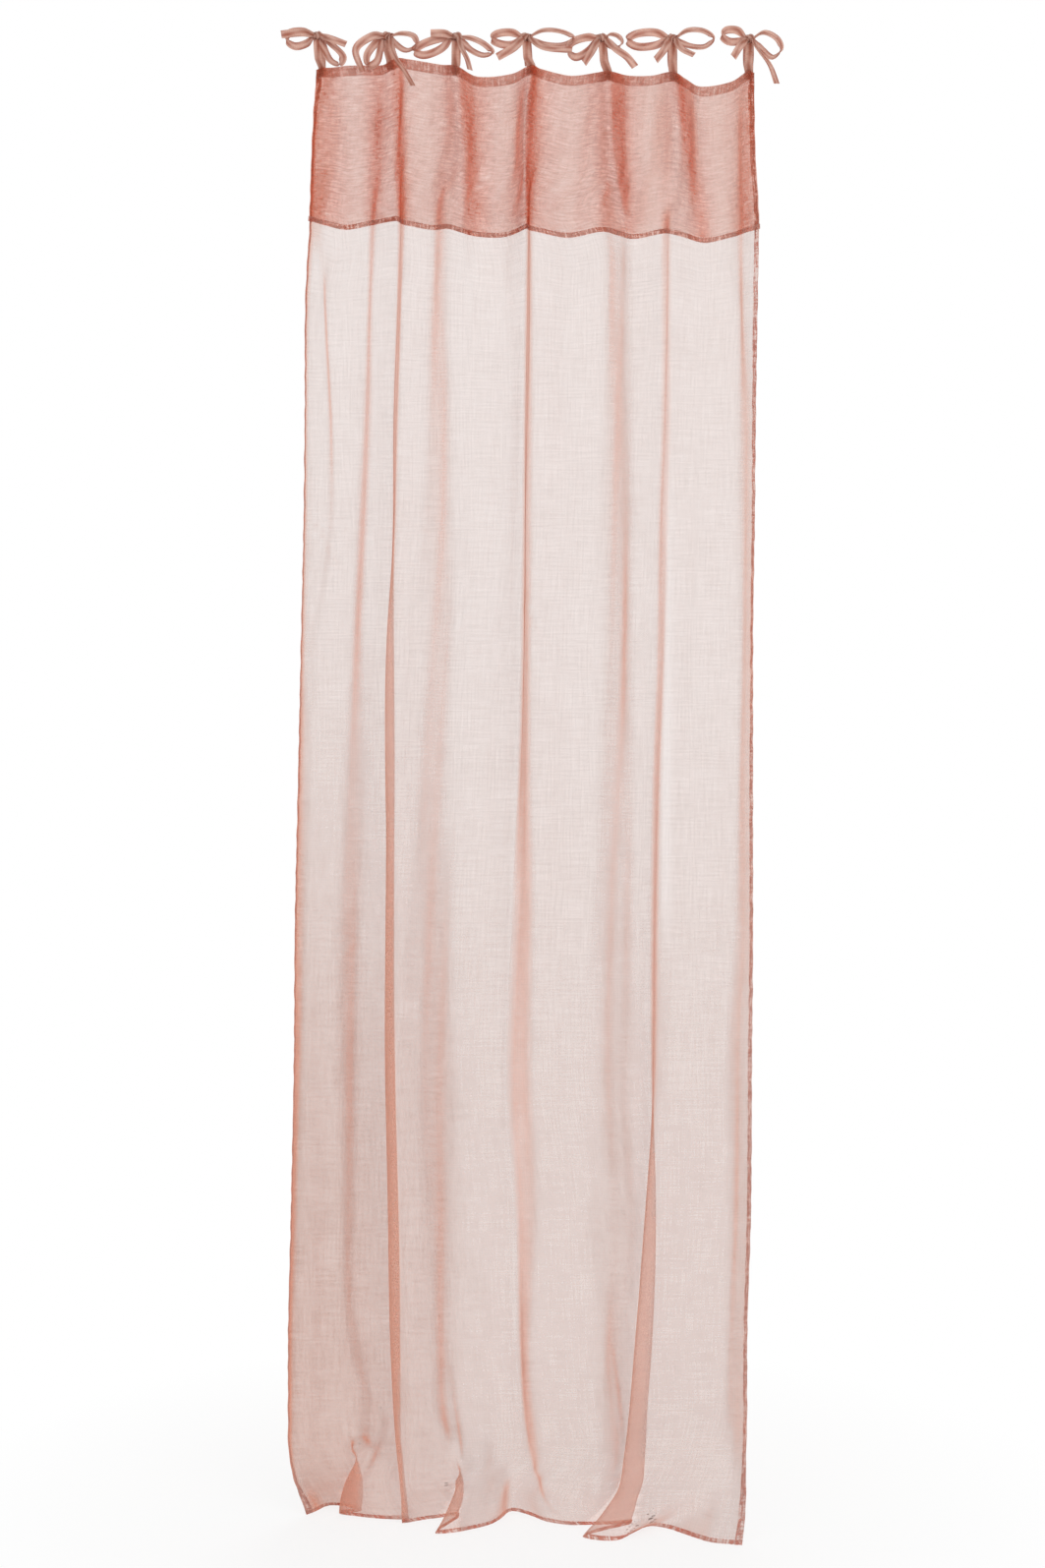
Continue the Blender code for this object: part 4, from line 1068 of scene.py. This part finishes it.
def ribbon_part(path, widths, breadth, sizes, cup):
    # a soft ribbon along a path, given the direction and size of its width at each point
    path = np.asarray(path, float)
    along = np.gradient(path, axis=0)
    along /= np.linalg.norm(along, axis=1)[:, None]
    widths = widths - along * (widths * along).sum(axis=1)[:, None]
    widths /= np.linalg.norm(widths, axis=1)[:, None]
    out = np.cross(along, widths)
    spread = np.linspace(-0.5, 0.5, RIBBON_POINTS)
    fold = np.cos(spread * math.pi * 3) * 0.5 + np.abs(spread)
    grid = (path[:, None, :] + widths[:, None, :] * (breadth[:, None] * spread)[:, :, None]
            + out[:, None, :] * (cup[:, None] * fold)[:, :, None])
    length = np.concatenate([[0.0], np.cumsum(np.linalg.norm(np.diff(path, axis=0), axis=1))])
    uv = np.stack([np.broadcast_to(spread * sizes.ribbon_width, grid.shape[:2]),
                   np.broadcast_to(length[:, None], grid.shape[:2])], axis=2)
    # painted crease shade: darker lines wander along the ribbon where its layers fold
    crease_shade = 0.45 + 0.5 * np.sin(spread[None, :] * 9.0 + 2.2 * np.sin(length[:, None] * 46.0))
    crease_shade = crease_shade + 0.35 * np.sin(length[:, None] * 130.0 + spread[None, :] * 4.0)
    part = shell_part(grid, grid_normals(grid), 0.0, sizes.ribbon_cloth, uv,
                      warmth=np.clip(crease_shade, 0.0, 1.0))
    return part, float(length[-1])


def bow_ribbon(knot_spot, knot, outward, downward, sizes, kind, turn_start, turn_end, points):
    # one loop or tail of a bow, gathered where the knot grips it
    looped = kind == "loop"
    start = (*knot_spot, KNOT_CHART_DEPTH)
    points = [start, *points, start] if looped else [start, *points]
    columns, rows, depths = np.array(points, float).T
    spots = place_bow(knot_spot[0], columns, rows, depths * DEPTH_STEP)
    side = math.copysign(1.0, spots[1][0] + spots[-2][0] - knot[0] * 2)
    if looped:
        spots[0] = knot + ALONG_ROD * side * LOOP_FOOT + downward * LOOP_FOOT_RISE
        spots[-1] = knot + ALONG_ROD * side * LOOP_FOOT - downward * LOOP_FOOT_RISE
    else:
        spots[0] = knot + ALONG_ROD * side * TAIL_FOOT
        spots[0] += (outward * KNOT_DEPTH + downward * KNOT_HEIGHT) * TAIL_FOOT_SHARE
    stretches = len(points) - 1
    path = spline(spots[None], np.linspace(0, stretches, stretches * BOW_STEPS + 1))[0]
    reach = np.linalg.norm(path - knot, axis=1)
    opened = GRIP_SHARE + (1 - GRIP_SHARE) * reach / GRIP_REACH
    breadth = sizes.ribbon_width * np.clip(opened, GRIP_SHARE, 1.0)
    cup = BOW_CUP * np.clip(1.3 - reach / GRIP_REACH, 0.25, 1.0)
    turn = np.radians(np.linspace(turn_start, turn_end, len(path)))[:, None]
    if looped:
        far = spots[stretches // 2]
        tilt = np.array([knot[2] - far[2], 0.0, far[0] - knot[0]])
        tilt /= np.linalg.norm(tilt)
    else:
        along = np.gradient(path, axis=0)
        tilt = np.stack([-along[:, 2], np.zeros(len(path)), along[:, 0]], axis=1)
        tilt /= np.linalg.norm(tilt, axis=1)[:, None]
    widths = tilt * np.cos(turn) + FROM_FRONT * np.sin(turn)
    return ribbon_part(path, widths, breadth, sizes, cup)


def rod_loop(base, down, knot, across, sizes):
    # the ribbon from behind the heading up the front of the rod, over it and down its back
    radius = ROD_RADIUS + ROD_GAP + sizes.ribbon_cloth / 2
    reach = math.hypot(base[1], base[2])
    bearing = math.atan2(base[2], base[1]) % (2 * math.pi)
    swing = math.acos(min(radius / reach, 1.0))
    start = bearing - swing
    end = bearing + swing - 2 * math.pi
    path = [base + down * TAB_LENGTH, base + down * TAB_LENGTH / 2, base]
    widths = [across] * 3
    for i in range(LOOP_STEPS + 1):
        angle = start + (end - start) * i / LOOP_STEPS
        share = min(max(1.0 - abs(angle - KNOT_ANGLE) / (start - end), 0.0), 1.0)
        path.append(np.array([base[0] + (knot[0] - base[0]) * share,
                              radius * math.cos(angle), radius * math.sin(angle)]))
        widths.append(ALONG_ROD)
    path.append(base + FROM_FRONT * STRAND_GAP)
    path.append(base + down * TAB_LENGTH + FROM_FRONT * STRAND_GAP)
    widths += [across] * 2
    return ribbon_part(path, np.array(widths), np.full(len(path), sizes.ribbon_width * LOOP_BREADTH),
                       sizes, np.full(len(path), LOOP_CUP))


def knot_part(knot, outward, downward, sizes, slant, size):
    # one wrap of the knot: a short turn of gathered ribbon round the middle of the bow
    turns = np.linspace(0, 2 * math.pi, WRAP_POINTS)
    rise = np.sin(turns)[:, None] * WRAP_HEIGHT
    ring = (knot + outward * np.cos(turns)[:, None] * WRAP_DEPTH * size
            + downward * rise * size + ALONG_ROD * slant * rise)
    widths = np.tile(ALONG_ROD - downward * slant, (len(turns), 1))
    breadth = KNOT_WIDTH * (0.8 + 0.12 * np.sin(turns * 2 + knot[0] * 40))
    return ribbon_part(ring, widths, breadth, sizes, np.full(len(turns), WRAP_CUP))


class CURTAIN_OT_ties(bpy.types.Operator):
    """Makes the seven ribbon ties, each a loop over the rod tied in a bow"""
    bl_idname = "curtain.ties"
    bl_label = "Ribbon ties"

    def execute(self, context):
        sizes, colours = context.scene.curtain_sizes, context.scene.curtain_colours
        top = cloth_rows([HEADING_ROW, TAPE_ROW], np.arange(len(HEADING_EDGE), dtype=float))
        fine = ClothMap([HEADING_ROW, TAPE_ROW], fine_spots(sizes.fineness))
        knot_out = np.array([0.0, math.cos(KNOT_ANGLE), math.sin(KNOT_ANGLE)])
        knot_down = np.array([0.0, -math.sin(KNOT_ANGLE), math.cos(KNOT_ANGLE)])
        for number, (line, bow) in enumerate(zip(TIE_LINES, BOWS)):
            edge = top[0, line]
            nearest = np.linalg.norm(fine.grid[0] - edge, axis=1).argmin()
            down = top[1, line] - edge
            down /= np.linalg.norm(down)
            outward = -fine.normals[0, nearest]
            across = np.cross(outward, down)
            across *= math.copysign(1.0, across[0])
            column, row = bow["knot"]
            knot = knot_out * (ROD_RADIUS + KNOT_DEPTH / 2)
            knot[0] = place_bow(column, column, row, knot[1])[0]
            base = edge + outward * RIBBON_STAND
            runs = [rod_loop(base, down, knot, across, sizes)]
            runs += [knot_part(knot, knot_out, knot_down, sizes, slant * (-1) ** number, size)
                     for slant, size in KNOT_WRAPS]
            runs += [bow_ribbon((column, row), knot, knot_out, knot_down, sizes, *ribbon)
                     for ribbon in bow["ribbons"]]
            tie = make_piece("ribbon_" + str(number + 1), [run[0] for run in runs],
                             finish("ribbon", colours))
            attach(tie, body_name())
            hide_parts("tie_" + str(number + 1))
        return {"FINISHED"}


# Stitches: how far into a side hem its seam lies, as a share of its width
SEAM_SHARE = 0.85


def stitch_tree():
    """Geometry nodes that sew a line: a short thread at each pitch, lying along the line."""
    tree = bpy.data.node_groups.new("running_stitch", "GeometryNodeTree")
    face = tree.interface
    face.new_socket("Seam", in_out="INPUT", socket_type="NodeSocketGeometry")
    for name in ("Pitch", "Length", "Thread"):
        face.new_socket(name, in_out="INPUT", socket_type="NodeSocketFloat")
    face.new_socket("Finish", in_out="INPUT", socket_type="NodeSocketMaterial")
    face.new_socket("Stitches", in_out="OUTPUT", socket_type="NodeSocketGeometry")
    given = add_node(tree, "NodeGroupInput").outputs
    line = add_node(tree, "GeometryNodeMeshToCurve", {}, {"Mesh": given["Seam"]})
    even = add_node(tree, "GeometryNodeResampleCurve", {"mode": "LENGTH"},
                    {"Curve": line.outputs[0], "Length": given["Pitch"]})
    run = add_node(tree, "GeometryNodeInputTangent")
    lie = add_node(tree, "FunctionNodeAlignRotationToVector", {"axis": "Z"},
                   {"Vector": run.outputs[0]})
    thread = add_node(tree, "GeometryNodeMeshCylinder",
                      {"Vertices": 6, "Side Segments": 1, "Fill Segments": 1},
                      {"Radius": given["Thread"], "Depth": given["Length"]})
    sewn = add_node(tree, "GeometryNodeInstanceOnPoints", {},
                    {"Points": even.outputs[0], "Instance": thread.outputs["Mesh"],
                     "Rotation": lie.outputs[0]})
    real = add_node(tree, "GeometryNodeRealizeInstances", {}, {"Geometry": sewn.outputs[0]})
    dressed = add_node(tree, "GeometryNodeSetMaterial", {},
                       {"Geometry": real.outputs[0], "Material": given["Finish"]})
    add_node(tree, "NodeGroupOutput", {}, {"Stitches": dressed.outputs[0]})
    return tree


def sew(name, tree, lines, sizes, material):
    # one plain mesh of stitches along all the lines
    points, edges = [], []
    for line in lines:
        start = len(points)
        points.extend(tuple(p) for p in line)
        edges.extend((start + i, start + i + 1) for i in range(len(line) - 1))
    mesh = bpy.data.meshes.new(name + "_seam")
    mesh.from_pydata(points, edges, [])
    seam = put(name + "_seam", mesh)
    modifier = seam.modifiers.new("stitches", "NODES")
    modifier.node_group = tree
    values = {"Pitch": sizes.stitch_pitch, "Length": sizes.stitch_length,
              "Thread": sizes.thread, "Finish": material}
    for socket in tree.interface.items_tree:
        if socket.in_out == "INPUT" and socket.name in values:
            modifier[socket.identifier] = values[socket.name]
    graph = bpy.context.evaluated_depsgraph_get()
    plain = bpy.data.meshes.new_from_object(seam.evaluated_get(graph), depsgraph=graph)
    plain.name = name
    bpy.data.objects.remove(seam, do_unlink=True)
    if not plain.polygons:
        raise RuntimeError(name + " has no stitches")
    return put(name, plain)


class CURTAIN_OT_stitches(bpy.types.Operator):
    """Sews the hems, the flap and the heading tape"""
    bl_idname = "curtain.stitches"
    bl_label = "Stitches"

    def execute(self, context):
        sizes, colours = context.scene.curtain_sizes, context.scene.curtain_colours
        tree = stitch_tree()
        spots = fine_spots(sizes.fineness)
        sides = ClothMap(fine_rows(HEADING_ROW, FLOOR_ROW, sizes.row_step), spots)
        front = sizes.cloth / 2 + sizes.thread * 0.5
        inset = sizes.hem_width * SEAM_SHARE
        under = sides.rows > FLAP_ROW + 1
        lines = []
        for low in (inset, FLAT_WIDTH - inset):
            seam = sides.strip(low, low, 1)
            lines.append((seam.grid[:, 0] + seam.normals[:, 0] * front)[under])
        over_hem = FLAP_STAND + front + SEAM_GAP / 2 + sizes.hem_cloth
        for row, beside, stand in (
                (BOTTOM_HEM_ROW + 0.5, 1.0, front),
                (TAPE_ROW - 1.0, 0.5, FLAP_STAND + front),
                (FLAP_HEM_TOP_ROW + 0.6, 0.6, over_hem)):
            seam = ClothMap([row - beside, row, row + beside], spots)
            lines.append(seam.grid[1] + seam.normals[1] * stand)
        piece = sew("seam_stitches", tree, lines, sizes, finish("thread", colours))
        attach(piece, body_name())
        bpy.data.node_groups.remove(tree)
        return {"FINISHED"}


# Studio: the floor's half width, how far out it starts and ends to pale, how pale it is at
# first, and the camera's sensor in millimetres
FLOOR_HALF = 12.0
PALE_START = 0.35
PALE_END = 1.1
PALE_LEAST = 0.8
SENSOR_WIDTH = 36.0


def seen_straight(tree):
    # 1 for what the camera sees by itself, in a reflection or through something clear
    seen = add_node(tree, "ShaderNodeLightPath").outputs
    either = add_node(tree, "ShaderNodeMath", {"operation": "MAXIMUM"},
                      {0: seen["Is Camera Ray"], 1: seen["Is Glossy Ray"]})
    return add_node(tree, "ShaderNodeMath", {"operation": "MAXIMUM"},
                    {0: either.outputs[0], 1: seen["Is Transmission Ray"]}).outputs[0]


def floor_material(colour):
    # matt white paper: it keeps the soft shadow near the hem and pales to plain white further out
    material, tree = blank_material("matt_paper")
    spot = add_node(tree, "ShaderNodeTexCoord").outputs["Object"]
    grain = add_node(tree, "ShaderNodeTexNoise", {"Scale": 300.0}, {"Vector": spot})
    relief = add_node(tree, "ShaderNodeBump", {"Strength": 0.03, "Distance": 0.0005},
                      {"Height": grain.outputs["Fac"]})
    paper = add_node(tree, "ShaderNodeBsdfDiffuse", {"Color": opaque(colour)},
                     {"Normal": relief.outputs[0]})
    white = add_node(tree, "ShaderNodeEmission", {"Color": (1, 1, 1, 1), "Strength": 1.0})
    level = add_node(tree, "ShaderNodeVectorMath", {"operation": "MULTIPLY", 1: (1.0, 1.0, 0.0)},
                     {0: spot})
    reach = add_node(tree, "ShaderNodeVectorMath", {"operation": "LENGTH"}, {0: level.outputs[0]})
    far = add_node(tree, "ShaderNodeMapRange",
                   {"From Min": PALE_START, "From Max": PALE_END, "To Min": PALE_LEAST,
                    "To Max": 1.0},
                   {"Value": reach.outputs["Value"]})
    straight = seen_straight(tree)
    share = add_node(tree, "ShaderNodeMath", {"operation": "MULTIPLY"},
                     {0: far.outputs[0], 1: straight})
    both = add_node(tree, "ShaderNodeMixShader", {},
                    {0: share.outputs[0], 1: paper.outputs[0], 2: white.outputs[0]})
    add_node(tree, "ShaderNodeOutputMaterial", {}, {"Surface": both.outputs[0]})
    return material


def white_surround(scene, strength):
    world = bpy.data.worlds.new("white_surround")
    world.use_nodes = True
    tree = world.node_tree
    tree.nodes.clear()
    straight = seen_straight(tree)
    light = add_node(tree, "ShaderNodeBackground", {"Color": (1, 1, 1, 1), "Strength": strength})
    white = add_node(tree, "ShaderNodeBackground", {"Color": (1, 1, 1, 1), "Strength": 1.0})
    both = add_node(tree, "ShaderNodeMixShader", {},
                    {0: straight, 1: light.outputs[0], 2: white.outputs[0]})
    add_node(tree, "ShaderNodeOutputWorld", {}, {"Surface": both.outputs[0]})
    scene.world = world


def soft_lamp(name, power, side, spot, aim):
    data = bpy.data.lights.new(name, "AREA")
    data.shape = "SQUARE"
    data.size = side
    data.energy = power
    lamp = put(name, data)
    lamp.location = spot
    lamp.rotation_euler = (Vector(aim) - Vector(spot)).to_track_quat("-Z", "Y").to_euler()


class CURTAIN_OT_studio(bpy.types.Operator):
    """Makes the camera, the paper floor, the pale surround and the soft lamps"""
    bl_idname = "curtain.studio"
    bl_label = "Studio"

    def execute(self, context):
        scene, studio = context.scene, context.scene.studio_settings
        eye_x, eye_z = eye_point()
        data = bpy.data.cameras.new("camera")
        data.sensor_fit = "AUTO"
        data.sensor_width = SENSOR_WIDTH
        data.lens = SENSOR_WIDTH * EYE_DISTANCE / (FRAME_ROWS * STEP_Z)
        camera = put("camera", data)
        right = Vector((1.0, 0.0, CHART_LEAN)).normalized()
        back = Vector((0.0, -1.0, 0.0))
        turn = Matrix((right, back.cross(right), back)).transposed()
        camera.matrix_world = Matrix.Translation((eye_x, -EYE_DISTANCE, eye_z)) @ turn.to_4x4()
        scene.camera = camera
        mesh = bpy.data.meshes.new("paper_floor")
        corners = [(x * FLOOR_HALF, y * FLOOR_HALF, FLOOR_HEIGHT)
                   for x, y in ((-1, -1), (1, -1), (1, 1), (-1, 1))]
        mesh.from_pydata(corners, [], [(0, 1, 2, 3)])
        mesh.materials.append(floor_material(scene.curtain_colours.stage))
        floor = put("paper_floor", mesh)
        white_surround(scene, studio.sky)
        middle = (0.0, 0.0, -DROP / 2)
        soft_lamp("key_lamp", studio.key, side=2.4, spot=(2.0, -3.2, 0.4), aim=middle)
        soft_lamp("fill_lamp", studio.fill, side=2.4, spot=(-2.6, -2.8, -0.6), aim=middle)
        soft_lamp("back_lamp", studio.back, side=2.6, spot=(0.8, 3.0, 0.2), aim=middle)
        scene.view_settings.view_transform = "Standard"
        scene.cycles.transparent_max_bounces = 128
        return {"FINISHED"}


class CURTAIN_PT_panel(bpy.types.Panel):
    """Lists the curtain's pieces, sizes and colours"""
    bl_idname = "CURTAIN_PT_panel"
    bl_label = "Voile Curtain"
    bl_space_type = "VIEW_3D"
    bl_region_type = "UI"
    bl_category = "Curtain"

    def draw(self, context):
        layout = self.layout
        for settings in (context.scene.curtain_sizes, context.scene.curtain_colours,
                         context.scene.studio_settings):
            column = layout.column(align=True)
            for name in settings.__annotations__:
                column.prop(settings, name)
        for operator in OPERATORS:
            layout.operator(operator.bl_idname)


OPERATORS = (CURTAIN_OT_studio, CURTAIN_OT_voile_panel, CURTAIN_OT_header, CURTAIN_OT_ties,
             CURTAIN_OT_stitches)
CLASSES = (CurtainSizes, CurtainColours, StudioSettings, *OPERATORS, CURTAIN_PT_panel)


def register():
    for item in CLASSES:
        bpy.utils.register_class(item)
    bpy.types.Scene.curtain_sizes = PointerProperty(type=CurtainSizes)
    bpy.types.Scene.curtain_colours = PointerProperty(type=CurtainColours)
    bpy.types.Scene.studio_settings = PointerProperty(type=StudioSettings)


def unregister():
    del bpy.types.Scene.studio_settings
    del bpy.types.Scene.curtain_colours
    del bpy.types.Scene.curtain_sizes
    for item in reversed(CLASSES):
        bpy.utils.unregister_class(item)


def main():
    register()
    bpy.ops.curtain.studio()
    bpy.ops.curtain.voile_panel()
    bpy.ops.curtain.header()
    bpy.ops.curtain.ties()
    bpy.ops.curtain.stitches()


if __name__ == "__main__":
    main()
